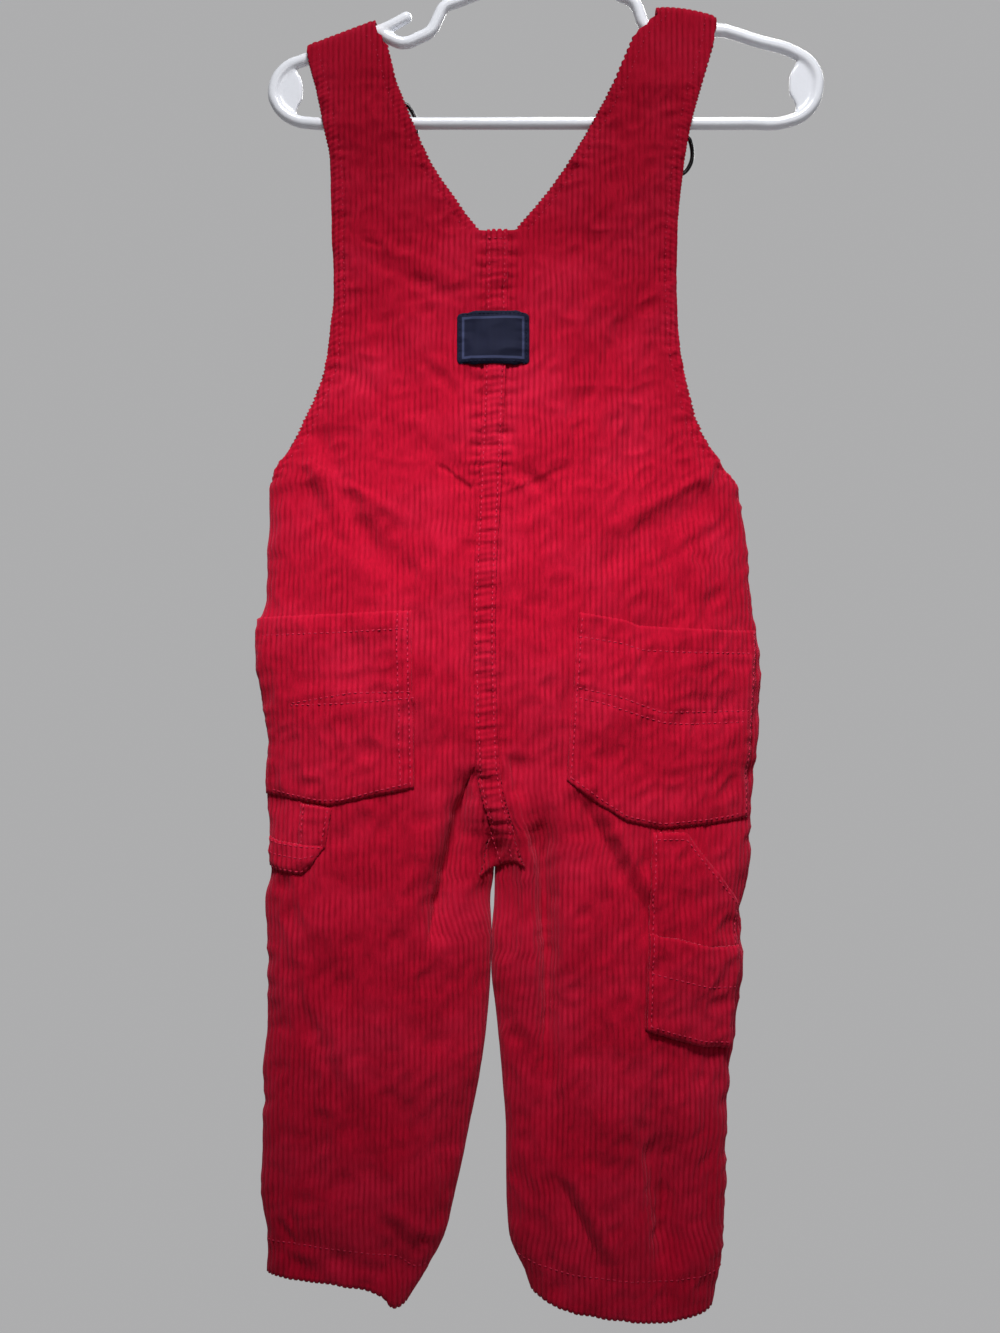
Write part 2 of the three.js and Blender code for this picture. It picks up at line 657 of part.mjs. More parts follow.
// Outward direction of the back at a place.
function backNormal(x, drop) {
  const across = backAt(x + 2, drop).sub(backAt(x - 2, drop));
  const up = backAt(x, drop - 2).sub(backAt(x, drop + 2));
  return across.cross(up).normalize();
}

// Middle of a chord over the back, so that a patch bridges a narrow trough.
function chordAt(x, drop, runX, runDrop) {
  return (backAt(x - runX, drop - runDrop).y + backAt(x + runX, drop + runDrop).y) / 2;
}

// Patch laid on the back. Each strip runs from its top point to its bottom point;
// lift gives the height of its underside over the cloth at x.
function laid(strips, rowsCount, perStrip, wall, lift) {
  const rows = [];
  for (let i = rowsCount; i >= 0; i -= 1) {
    const t = i / rowsCount;
    const row = [];
    for (let k = 0; k + 1 < strips.length; k += 1) {
      const last = k + 2 === strips.length;
      for (let m = 0; m < perStrip + (last ? 1 : 0); m += 1) {
        const a = strips[k];
        const b = strips[k + 1];
        const f = m / perStrip;
        const x = mix(mix(a.topX, b.topX, f), mix(a.lowX, b.lowX, f), t);
        const drop = mix(mix(a.topDrop, b.topDrop, f), mix(a.lowDrop, b.lowDrop, f), t);
        const p = backAt(x, drop);
        p.y = Math.min(p.y, chordAt(x, drop, 5, 0), chordAt(x, drop, 0, 6));
        row.push(p.addScaledVector(backNormal(x, drop), lift(x, drop) + wall));
      }
    }
    rows.push(row);
  }
  return shell(rows, wall, true);
}

const POCKET_LEFT = [
  { topX: -149.2, topDrop: 400, lowX: -144.2, lowDrop: 489.6 },
  { topX: -142, topDrop: 399.4, lowX: -136, lowDrop: 490.7 },
  { topX: -116, topDrop: 398, lowX: -110.4, lowDrop: 494.7 },
  { topX: -90, topDrop: 397, lowX: -84, lowDrop: 489 },
  { topX: -68.7, topDrop: 396.1, lowX: -67.2, lowDrop: 485.7 },
];
const POCKET_RIGHT = [
  { topX: 15.8, topDrop: 397.1, lowX: 9.8, lowDrop: 481.6 },
  { topX: 38.5, topDrop: 400.7, lowX: 26, lowDrop: 494 },
  { topX: 46, topDrop: 403.6, lowX: 40, lowDrop: 502.4 },
  { topX: 68, topDrop: 405, lowX: 58, lowDrop: 506.4 },
  { topX: 92, topDrop: 406, lowX: 83.2, lowDrop: 504.4 },
  { topX: 107.6, topDrop: 406, lowX: 102.8, lowDrop: 501.4 },
];
const TOOL_POCKET = [
  { topX: 53.4, topDrop: 508.4, lowX: 49.6, lowDrop: 608.4 },
  { topX: 70.2, topDrop: 508.4, lowX: 66, lowDrop: 614 },
  { topX: 84, topDrop: 526, lowX: 79, lowDrop: 618 },
  { topX: 98.8, topDrop: 545.4, lowX: 93.8, lowDrop: 619.6 },
];
const TOOL_PATCH = [
  { topX: 51.8, topDrop: 559.6, lowX: 50.2, lowDrop: 607.8 },
  { topX: 66, topDrop: 561.8, lowX: 66, lowDrop: 613.2 },
  { topX: 82, topDrop: 566.2, lowX: 80, lowDrop: 617.4 },
  { topX: 97, topDrop: 566.6, lowX: 93, lowDrop: 618.8 },
];
const LOOP_DROP = [
  { topX: -125.2, topDrop: 494.2, lowX: -126.2, lowDrop: 518 },
  { topX: -108.8, topDrop: 496.2, lowX: -112.6, lowDrop: 516.4 },
];
const LOOP_BAND = [
  { topX: -142.6, topDrop: 511.4, lowX: -142.8, lowDrop: 526.6 },
  { topX: -136, topDrop: 513.4, lowX: -138, lowDrop: 528.2 },
  { topX: -124, topDrop: 514.8, lowX: -124.5, lowDrop: 529.9 },
  { topX: -112.6, topDrop: 515.4, lowX: -119.4, lowDrop: 524.6 },
];
const LABEL = { centreX: -27.4, centreDrop: 257, width: 37, height: 27 };

function seamAt(drop) {
  return (column(BODY, "innerL", drop) + column(BODY, "innerR", drop)) / 2;
}

// Band of the felled centre-back seam, from the neck to the crotch.
function fellBand() {
  const rows = [];
  const first = NECK_DROP + 0.3;
  const last = CROTCH_DROP - 10;
  const count = 27;
  for (let i = count; i >= 0; i -= 1) {
    const drop = mix(first, last, i / count);
    const seam = seamAt(drop);
    const row = [];
    for (const s of [-1, -0.4, 0.4, 1]) {
      const x = seam + (s * FELL_WIDTH) / 2;
      const p = backAt(x, drop);
      const left = backAt(seam - FELL_WIDTH / 2, drop).y;
      const right = backAt(seam + FELL_WIDTH / 2, drop).y;
      const y = Math.min(p.y, mix(left, right, (s + 1) / 2));
      const clear = LAID_GAP + 0.4 * smooth((drop - 465) / 20);
      row.push(new THREE.Vector3(x, y - clear - BAND_WALL, -drop));
    }
    rows.push(row);
  }
  return shell(rows, BAND_WALL, true);
}

function label() {
  const strips = [];
  for (let k = 0; k <= 4; k += 1) {
    const x = LABEL.centreX + LABEL.width * (k / 4 - 0.5);
    strips.push({
      topX: x,
      topDrop: LABEL.centreDrop - LABEL.height / 2,
      lowX: x,
      lowDrop: LABEL.centreDrop + LABEL.height / 2,
    });
  }
  const over = LAID_GAP + BAND_WALL;
  const lift = (x, drop) => {
    const away = Math.abs(x - seamAt(drop)) - FELL_WIDTH / 2 - 4;
    return LAID_GAP + over * (1 - smooth(away / 7));
  };
  return laid(strips, 4, 2, BAND_WALL, lift);
}

function buckle(over) {
  const frame = buckleFrame(over);
  const half = BUCKLE_WIDTH / 2;
  const outline = [
    [-half + 2, 0], [0, 0], [half - 2, 0], [half, 2], [half, BUCKLE_FRAME],
    [half - 9, BUCKLE_FRAME + 5], [4, BUCKLE_FRAME + 8], [5.6, BUTTON_DOWN],
    [0, BUCKLE_LENGTH], [-5.6, BUTTON_DOWN], [-4, BUCKLE_FRAME + 8],
    [-half + 9, BUCKLE_FRAME + 5], [-half, BUCKLE_FRAME], [-half, 2],
  ];
  const path = outline.map(([x, down]) => {
    const p = frame.middle.clone().addScaledVector(frame.across, x);
    return p.addScaledVector(frame.down, down);
  });
  return rod(curve(path, true, 36), WIRE_RADIUS, 6, true);
}

function bibButton(over) {
  const place = buttonPlace(over);
  const foot = place.y - WIRE_RADIUS - 0.3;
  const profile = [
    [0, foot], [2.6, foot], [2.6, foot + 3], [BUTTON_RADIUS, foot + 3],
    [BUTTON_RADIUS, foot + 4.4], [BUTTON_RADIUS - 1.6, foot + 5.6], [0, foot + 5.9],
  ];
  const points = profile.map(([r, y]) => new THREE.Vector2(r, y));
  const geometry = new THREE.LatheGeometry(points, 16);
  geometry.translate(place.x, 0, 0);
  geometry.applyMatrix4(new THREE.Matrix4().makeTranslation(0, 0, place.z));
  return geometry;
}

const group = new THREE.Group();

function add(name, geometry, look) {
  const mesh = new THREE.Mesh(geometry, new THREE.MeshStandardMaterial(look));
  mesh.name = name;
  group.add(mesh);
}

const onCloth = () => LAID_GAP;
const onPocket = () => 2.4 * LAID_GAP + POCKET_WALL;

add("hanger", hanger(), WHITE);
add("back_left", backPanel(-1), RED);
add("back_right", backPanel(1), RED);
add("center_back_fell", fellBand(), RED);
add("bib", bib(), RED);
add("front_left", frontPanel(-1), RED);
add("front_right", frontPanel(1), RED);
add("back_pocket_left", laid(POCKET_LEFT, 8, 2, POCKET_WALL, onCloth), RED);
add("back_pocket_right", laid(POCKET_RIGHT, 8, 2, POCKET_WALL, onCloth), RED);
add("tool_pocket", laid(TOOL_POCKET, 9, 2, POCKET_WALL, onCloth), RED);
add("tool_pocket_patch", laid(TOOL_PATCH, 5, 2, POCKET_WALL, onPocket), RED);
const loopDrop = manifold(laid(LOOP_DROP, 3, 2, POCKET_WALL, onCloth));
const loopBand = manifold(laid(LOOP_BAND, 2, 2, POCKET_WALL, onCloth));
add("hammer_loop", fromManifold(loopDrop.add(loopBand)), RED);
add("label_patch", label(), PATCH);
add("buckle_left", buckle(OVER_LEFT), METAL);
add("buckle_right", buckle(OVER_RIGHT), METAL);
add("bib_button_left", bibButton(OVER_LEFT), METAL);
add("bib_button_right", bibButton(OVER_RIGHT), METAL);

export default group;
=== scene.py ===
import math

import bmesh
import bpy
import numpy as np
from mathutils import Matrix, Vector


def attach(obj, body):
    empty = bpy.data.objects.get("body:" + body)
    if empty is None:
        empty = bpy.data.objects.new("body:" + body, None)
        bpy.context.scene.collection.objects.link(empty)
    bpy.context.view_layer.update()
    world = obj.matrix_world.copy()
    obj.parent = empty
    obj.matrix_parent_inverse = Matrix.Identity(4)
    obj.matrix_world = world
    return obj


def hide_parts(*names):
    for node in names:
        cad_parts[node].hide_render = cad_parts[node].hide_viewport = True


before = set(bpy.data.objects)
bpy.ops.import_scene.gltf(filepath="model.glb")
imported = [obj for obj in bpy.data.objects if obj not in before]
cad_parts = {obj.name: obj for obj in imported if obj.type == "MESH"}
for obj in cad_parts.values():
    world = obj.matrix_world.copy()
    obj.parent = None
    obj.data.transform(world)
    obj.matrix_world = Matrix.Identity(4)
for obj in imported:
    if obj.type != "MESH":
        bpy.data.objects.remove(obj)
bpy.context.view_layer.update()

# Bib overalls of red wide-wale corduroy on a child's hanger, seen from their back (-Y).
# Tables are in millimetres, and "drop" is the distance below the hook's resting point.
MM = 0.001
WALL = 1.8
POCKET_WALL = 1.5
BAND_WALL = 1.1
LAID_GAP = 0.6
SEAM_GAP = 0.3
SECTION_POWER = 2.3
WALE_PITCH = 2.85
WALE_DEPTH = 0.38
PRESSED_DEPTH = 0.27
WALE_SIDE = 0.28
SCALLOP = 1.15
CROTCH_DROP = 530
CROTCH_BLEND = 48
SIDE_TOP_DROP = 329
FELL_WIDTH = 11
TUBE_RADIUS = 3.2
OVER_RADIUS = TUBE_RADIUS + 0.35 + WALL
HOOK_RADIUS = 21
WIRE_RADIUS = 1.1
BUTTON_DOWN = 31
HEM_ROW = 20
EDGE_ROW = 6
LAID_ROW = 1.8
FELL_ROW = 1.6
STRAP_FOOT_DROP = 200.2
PANEL_TOP_DROP = 201.2
STRAP_STEP = 0.95
FREE_EDGE_DEPTH = 4.6
EDGE_FADE = 14

# Sewn rows: the puckers they pull up, their groove, and the nubs over a turned facing.
PUCKER_RISE = 0.5
PUCKER_REACH = 4.5
GROOVE_DEPTH = 0.75
GROOVE_HALF = 0.75
NUB_PITCH = 3
NUB_RISE = 0.42
FACING_REACH = 3.6
TURN_DEPTH = 0.9
TURN_REACH = 1.5


class Table:
    """Rows of numbers with named columns, read by a smooth curve that never overshoots."""

    def __init__(self, names, *rows):
        ordered = sorted(rows)
        self.columns = dict(zip(names.split(), np.array(ordered, float).T))
        self.drop = self.columns["drop"]

    def at(self, name, drop):
        values = self.columns[name]
        span = np.diff(self.drop)
        slope = np.diff(values) / span
        a, b = slope[:-1], slope[1:]
        together = a * b > 0
        inner = np.where(together, 2 * a * b / np.where(together, a + b, 1), 0)
        tangent = np.concatenate([slope[:1], inner, slope[-1:]])
        drop = np.clip(drop, self.drop[0], self.drop[-1])
        k = np.clip(np.searchsorted(self.drop, drop) - 1, 0, len(span) - 1)
        t = (drop - self.drop[k]) / span[k]
        return (
            (2 * t**3 - 3 * t**2 + 1) * values[k]
            + (t**3 - 2 * t**2 + t) * span[k] * tangent[k]
            + (3 * t**2 - 2 * t**3) * values[k + 1]
            + (t**3 - t**2) * span[k] * tangent[k + 1]
        )


BODY = Table(
    "drop left innerL innerR right back front",
    (201, -111, -25.4, -25.1, 68, 9, 30),
    (229, -110, -25.8, -25.5, 67.6, 11, 28),
    (250, -112, -26.2, -25.9, 68.6, 12, 26),
    (270, -115, -26.7, -26.4, 71, 13, 24),
    (291, -122.7, -27.4, -27.1, 76, 14, 22),
    (312, -133.6, -28.3, -28, 84.8, 15, 20),
    (322, -140.6, -28.7, -28.4, 93, 15.5, 19),
    (333, -143, -29.1, -28.8, 101, 16, 18.5),
    (364, -144.4, -30.8, -30.5, 104, 18, 19),
    (392, -145.4, -31.8, -31.5, 107, 20, 20),
    (408, -150, -31.9, -31.6, 110, 20.5, 20.5),
    (437, -148.2, -31.4, -31.1, 111, 21, 21),
    (468, -144.8, -30.3, -30, 110, 20.5, 21),
    (489, -145, -28.6, -28.3, 107.6, 20, 20),
    (510, -144, -26.5, -26.2, 105.6, 19, 19),
    (530, -144, -27, -26.7, 105.4, 18.5, 18),
    (546, -145.6, -28.9, -27, 102.4, 18, 17),
    (560, -144.6, -28.3, -28.1, 102, 18, 16.7),
    (580, -144, -28.7, -28.4, 101.4, 18, 16.4),
    (603, -144.6, -30.2, -26, 99.3, 17.5, 16),
    (634, -146, -34.3, -22.9, 95.2, 17, 16),
    (666, -147.6, -40.6, -20.8, 93, 16.5, 15.5),
    (697, -146.8, -47.3, -20.6, 92, 16, 15),
    (718, -144, -52.6, -19.2, 90.4, 15.5, 14.5),
    (738, -145, -62.6, -11, 89.6, 15, 14),
    (756, -145, -74.4, -5, 87, 14.5, 13.5),
    (772, -145, -84, -1, 85, 14, 13),
)
STRAP = {
    -1: Table(
        "drop outer inner edge mid",
        (200.2, -111, -34.6, 4.8, 9),
        (196, -111, -38, 4.9, 8.8),
        (185, -111.3, -45.8, 5.1, 8.2),
        (164, -111.8, -59.8, 5.5, 7.2),
        (143.5, -115.4, -69.2, 5.8, 6.4),
        (123, -119.6, -77.4, 5.8, 6),
    ),
    1: Table(
        "drop outer inner edge mid",
        (200.2, 68, -16, 4.8, 9),
        (196, 68.2, -12.6, 4.9, 8.8),
        (185, 69.2, -3.6, 5.1, 8.2),
        (164, 71.4, 12, 5.5, 7.2),
        (143.5, 74.8, 23.8, 5.8, 6.4),
        (123, 80.4, 34.8, 5.8, 6),
    ),
}
# Lines across each strap: outer x and drop, inner x and drop, and how much it crowns.
OVER = {
    -1: {
        "behind": (-122.6, 112, -82, 104, 0),
        "top": (-123.6, 101.8, -88.6, 88.6, 0),
        "front": (-123, 109, -88.4, 98, 0),
        "low": (-111.4, 137, -74.4, 129, 0),
    },
    1: {
        "behind": (86.2, 103, 45.4, 98, 0),
        "top": (88, 87, 57, 82.2, 1.6),
        "front": (87.6, 98, 52.4, 92, 0),
        "low": (73.6, 146, 36.4, 142, 0),
    },
}
# Where a wale runs straight down each side, so that all the others follow it.
STRAIGHT_WALE = {-1: -90, 1: 36}

# Creases: from and to (x, drop), half width and height. The first ones are the solids'.
BACK_FOLDS = (
    (-56, 318, -37, 331, 8, -2.4),
    (-132, 330, -70, 378, 13, -2.6),
    (92, 334, 26, 372, 13, -2.8),
    (-96, 230, -60, 300, 12, -1.4),
    (52, 228, 14, 300, 12, -1.6),
    (-38, 470, -60, 562, 9, -4),
    (-50, 490, -76, 560, 9, 1.8),
    (-14, 486, -8, 590, 8, 2.6),
    (-2, 486, 2, 654, 9, -4.6),
    (22, 500, 58, 568, 8, -2.8),
    (34, 504, 46, 556, 8, 1.6),
    (6, 686, 30, 738, 10, -3),
    (56, 664, 61, 732, 10, -3.6),
    (-140, 712, -122, 734, 9, -2.2),
    (-84, 716, -64, 742, 9, -2.2),
    (46, 398, 55, 440, 8, -1.8),
    (-104, 590, -110, 690, 13, 1.6),
    (44, 600, 34, 680, 13, 1.4),
)
FRONT_FOLDS = (
    (-120, 336, -60, 384, 13, -2.6),
    (84, 340, 22, 380, 13, -2.6),
    (-42, 470, -72, 560, 10, -3.6),
    (-12, 474, 20, 566, 10, -3.6),
    (-100, 560, -92, 660, 11, -2.4),
    (44, 580, 36, 690, 11, -2.6),
    (-124, 690, -104, 730, 10, -2.4),
    (18, 690, 44, 730, 10, -2.6),
)
BIB_FOLDS = (
    (-70, 190, -46, 300, 14, -3),
    (36, 196, 14, 300, 14, -3),
    (-18, 214, -16, 290, 12, 2),
)

# Finer creases, for the cloth that shows.
FINE_BACK = (
    (-84, 706, -62, 728, 5, -1.8),
    (-78, 701, -54, 721, 4, 1.2),
    (-60, 723, -44, 712, 4, -1.4),
    (56, 636, 62, 738, 14, -1.8),
    (22, 500, 58, 568, 8, 1.3),
    (-95, 205, -83, 209, 3, -1),
    (-92, 214, -47, 236, 6, -1.3),
    (-88, 206, -42, 228, 5, 0.9),
    (-67, 266, -43, 287, 5, -1.1),
    (-104, 268, -80, 292, 7, -1.1),
    (-18, 221, -22, 240, 3, -1),
    (-22, 303, -5, 336, 5, -1.3),
    (9, 336, 17, 298, 4.5, -1.1),
    (-56, 318, -37, 331, 8, 1.5),
    (-76, 304, -54, 318, 7, -0.9),
    (-124, 320, -70, 350, 5, 1.2),
    (-128, 346, -84, 374, 5, -1),
    (90, 322, 34, 352, 5, 1.2),
    (94, 350, 48, 378, 5, -1),
    (16, 488, 57, 556, 4, -1.5),
    (22, 485, 62, 551, 4, 1.1),
    (-66, 716, -56, 725, 4, -1.2),
    (-139, 706, -126, 722, 4, -1.3),
    (5, 682, 27, 724, 4, -1.4),
    (12, 682, 34, 724, 4, 0.9),
    (52, 668, 58, 720, 4, -1),
    (-40, 476, -47, 510, 3.6, -1.2),
    (-47, 510, -60, 560, 3.8, -1.2),
    (-2, 500, 0, 620, 3.8, -1.4),
    (-120, 300, -85, 371, 7, -1.7),
    (-128, 304, -95, 374, 6, 1.4),
    (-135, 332, -141, 396, 6, 1.2),
    (57, 360, 71, 396, 7, -1.8),
    (66, 356, 82, 392, 6, 1.3),
    (62, 300, 93, 346, 6, 1.3),
    (-22, 321, 8, 338, 6, -1.6),
    (-20, 350, 6, 336, 6, -1.1),
    (-60, 372, -64, 400, 7, 1.1),
    (-46, 420, -42, 462, 7, 1.2),
    (-132, 560, -96, 640, 9, 1.3),
    (-120, 600, -84, 690, 9, -1.3),
    (-70, 610, -58, 700, 9, 1.2),
    (12, 590, 20, 676, 9, -1.3),
    (70, 630, 78, 720, 9, 1.2),
    (-140, 716, -100, 738, 6, 1.2),
    (-112, 724, -70, 736, 6, -1.2),
)
# Sharp creases: the cloth on one hand of the line (looking down it, the viewer's right
# where the depth is above 0) drops back at once and comes forward again over the reach.
STEPS = (
    (-39, 476, -50.6, 506.8, 1.6, 13, 3.6),
    (-50.6, 506.8, -55.6, 532, 1.6, 15, 4.2),
    (-55.6, 532, -61.6, 562, 1.8, 16, 3.4),
    (-61.6, 562, -66, 590, 2.6, 16, 1.6),
    (-20, 472, -11.3, 506.8, 2.2, 9, 2.2),
    (-11.3, 506.8, -4.6, 532, 2.2, 10, 3.4),
    (-4.6, 532, -2, 572, 2.2, 10, 3.4),
    (-2, 572, -1, 612, 2.6, 10, 2),
    (16, 488, 34, 520, 1.6, 9, -1.9),
    (34, 520, 57, 558, 1.6, 9, -1.9),
    (-55, 321, -37, 334, 0.9, 5, -1.7),
    (-20, 336, 10, 322, 2, 9, -1.0),
    (62, 664, 54, 716, 2, 10, 1.6),
    (6, 684, 28, 726, 2.4, 9, -0.8),
    (-134, 702, -124, 722, 1.8, 7, 1.4),
    (-67, 716, -56, 727, 1.4, 6, 1.5),
)
FINE_FRONT = (
    (-118, 324, -70, 352, 5, 1.1),
    (86, 326, 34, 354, 5, 1.1),
    (-44, 478, -60, 556, 4, -1.2),
    (-8, 480, 16, 560, 4, -1.2),
    (20, 686, 40, 728, 4, -1.1),
    (-128, 700, -112, 728, 4, -1.1),
)


def smooth(t):
    t = np.clip(t, 0, 1)
    return t * t * (3 - 2 * t)


def mix(a, b, t):
    return a + (b - a) * t


def from_edge(u):
    turn = 0.13
    return (np.hypot(1, u / turn) - 1) / (math.hypot(1, 1 / turn) - 1)


def from_both_edges(u):
    return np.where(u < 0.5, 0.5 * from_edge(2 * u), 1 - 0.5 * from_edge(2 - 2 * u))


def arch(t):
    rest = np.maximum(0, 1 - np.abs(t) ** SECTION_POWER)
    return rest ** (1 / SECTION_POWER)


def fold_lift(folds, x, drop):
    lift = np.zeros(np.broadcast(x, drop).shape)
    for x1, drop1, x2, drop2, half, height in folds:
        length = math.hypot(x2 - x1, drop2 - drop1)
        run_x, run_drop = (x2 - x1) / length, (drop2 - drop1) / length
        along = (x - x1) * run_x + (drop - drop1) * run_drop
        aside = (x - x1) * run_drop - (drop - drop1) * run_x
        across = np.maximum(0, 1 - (aside / half) ** 2) ** 2
        fade = 0.3 * length
        ends = smooth(along / fade + 0.3) * smooth((length - along) / fade + 0.3)
        lift += height * across * ends
    return lift


def step_lift(x, drop):
    lift = np.zeros(np.broadcast(x, drop).shape)
    for x1, drop1, x2, drop2, sharp, reach, depth in STEPS:
        length = math.hypot(x2 - x1, drop2 - drop1)
        run_x, run_drop = (x2 - x1) / length, (drop2 - drop1) / length
        along = (x - x1) * run_x + (drop - drop1) * run_drop
        aside = ((x - x1) * run_drop - (drop - drop1) * run_x) * np.sign(depth)
        fall = smooth(aside / sharp + 0.5) * np.exp(-((np.maximum(aside, 0) / reach) ** 2))
        fade = 0.2 * length
        ends = smooth(along / fade + 0.5) * smooth((length - along) / fade + 0.5)
        lift -= abs(depth) * fall * ends
    return lift


def body_points(side, face, u, drop, extra=()):
    """Outer surface of one side of the back (face -1) or front (face 1)."""
    outer = BODY.at("left" if side < 0 else "right", drop)
    inner = BODY.at("innerL" if side < 0 else "innerR", drop)
    depth = BODY.at("back" if face < 0 else "front", drop)
    split = smooth((drop - CROTCH_DROP + CROTCH_BLEND) / CROTCH_BLEND) ** 1.4
    sheet = 1 - smooth((drop - 300) / 34) if face < 0 else 0 * drop
    share = mix(mix(from_edge(u), from_both_edges(u), split), u, sheet)
    tube = mix(arch(1 - share), arch(2 * share - 1), split)
    free = FREE_EDGE_DEPTH + (depth - FREE_EDGE_DEPTH) * (1 - (1 - share) ** 2)
    free = free / depth
    x = mix(outer, inner, share)
    wide = np.abs(inner - outer)
    inset = smooth(np.minimum(1, share * wide / EDGE_FADE))
    inset *= smooth(mix(1, np.minimum(1, (1 - share) * wide / EDGE_FADE), split))
    folds = BACK_FOLDS if face < 0 else FRONT_FOLDS
    lift = fold_lift(folds + tuple(extra), x, drop)
    if face < 0:
        lift = lift + step_lift(x, drop)
    y = face * (SEAM_GAP / 2 + depth * mix(tube, free, sheet) + lift * inset)
    return np.stack([x, y, -drop + 0 * x], axis=-1)


def normals_of(points, sign):
    across = np.gradient(points, axis=1)
    along = np.gradient(points, axis=0)
    normal = np.cross(across, along) * sign
    return normal / np.maximum(np.linalg.norm(normal, axis=-1, keepdims=True), 1e-9)


def hem_drop(side, u):
    if side < 0:
        lobe = 4.5 * np.exp(-(((u - 0.86) / 0.08) ** 2))
        return mix(737, 752, u) - 5 * (1 - (2 * u - 1) ** 2) + lobe
    return mix(753, 745, u) + 8.5 * (1 - np.abs(2 * u - 1) ** 2.6)


BASE_COLUMNS = np.linspace(0, 1, 97)
LEVEL = {-1: 742, 1: 756}


def leg_rows(side, face, heights, extra=()):
    u = BASE_COLUMNS[None, :]
    level = LEVEL[side]
    share = 1 - smooth(heights / 90)[:, None]
    rise = 3 if face > 0 else 0
    drop = level - heights[:, None] + (hem_drop(side, u) - level - rise) * share
    return body_points(side, face, u, drop, extra)


def strap_line(line, y):
    outer_x, outer_drop, inner_x, inner_drop, crown = line
    u = BASE_COLUMNS
    drop = mix(outer_drop, inner_drop, u) - crown * 4 * u * (1 - u)
    return np.stack([mix(outer_x, inner_x, u), y + 0 * u, -drop], axis=-1)


def shifted(line, down):
    outer_x, outer_drop, inner_x, inner_drop, crown = line
    lean = down * (outer_drop - inner_drop) / (inner_x - outer_x)
    return (outer_x + lean, outer_drop + down, inner_x + lean, inner_drop + down, crown)


def strap_rows(side):
    """Rows of a strap from the V up, over the arm and down to the end turned on its buckle."""
    over, table, rows = OVER[side], STRAP[side], []
    u = BASE_COLUMNS
    for drop in np.arange(STRAP_FOOT_DROP, 123, -STRAP_STEP):
        edge, mid = table.at("edge", drop), table.at("mid", drop)
        x = mix(table.at("outer", drop), table.at("inner", drop), u)
        y = -edge - (mid - edge) * (1 - (1 - u) ** 2)
        rows.append(np.stack([x, y, -drop + 0 * u], axis=-1))
    last, behind = rows[-1], strap_line(over["behind"], -OVER_RADIUS - 0.1)
    rows += [mix(last, behind, t) for t in np.linspace(0, 1, 17)[1:]]
    top = strap_line(over["top"], 0)
    arc = []
    for turn in np.linspace(-math.pi / 2, math.pi / 2, 15):
        row = top.copy()
        row[:, 1] = OVER_RADIUS * math.sin(turn)
        row[:, 2] += OVER_RADIUS * (math.cos(turn) - 1)
        arc.append(row)
    rows += [mix(behind, arc[0], t) for t in (0.25, 0.5, 0.75)] + arc
    front = strap_line(over["front"], OVER_RADIUS + 0.1)
    low = strap_line(over["low"], OVER_RADIUS + 0.2)
    rows += [mix(arc[-1], front, t) for t in (0.33, 0.66)]
    rows += [mix(front, low, t) for t in np.linspace(0, 1, 12)]
    bar = WIRE_RADIUS + 0.4
    for turn in np.linspace(0, math.pi, 9)[1:]:
        y = OVER_RADIUS + 0.2 + bar * (1 - math.cos(turn))
        rows.append(strap_line(shifted(over["low"], bar * math.sin(turn)), y))
    end = OVER_RADIUS + 0.2 + 2 * bar
    outer_x, outer_drop, inner_x, inner_drop, crown = over["low"]
    narrow = (outer_x, outer_drop, inner_x + 3.4 * side, inner_drop, crown)
    rows += [strap_line(shifted(narrow, -down), end) for down in (4, 8, 12, 16, 18)]
    return np.array(rows)


def arc_length(points, straight):
    """Level distance along each row from the wale that runs straight down."""
    step = np.hypot(*np.moveaxis(np.diff(points[..., :2], axis=1), -1, 0))
    along = np.concatenate([np.zeros((len(points), 1)), np.cumsum(step, axis=1)], axis=1)
    x = points[..., 0]
    way = np.sign(x[:, -1:] - x[:, :1])
    ahead = (x - straight) * way
    at = np.array([np.interp(0, row, s) for row, s in zip(ahead, along)])[:, None]
    return along - at + np.maximum(ahead[:, :1], 0) + np.minimum(ahead[:, -1:], 0)


def wale_height(s):
    phase = np.mod(s / WALE_PITCH, 1)
    return np.interp(phase, [0, WALE_SIDE, 1 - WALE_SIDE, 1], [0, 1, 1, 0])


def along_row(places, values, wanted):
    """Values of one row of points, read at other distances along it."""
    return np.stack([np.interp(wanted, places, values[:, k]) for k in range(3)], axis=-1)


def square_ends(points, normal):
    """The wall stands square to that of the next panel where two are sewn together."""
    for column in (0, -1):
        level = np.abs(points[:, column, 1]) < 0.4
        normal[level, column, 1] = 0
    flat = np.abs(normal[:, -1, 1]) > 0.6
    normal[flat, -1, 0] = 0
    return normal / np.maximum(np.linalg.norm(normal, axis=-1, keepdims=True), 1e-9)


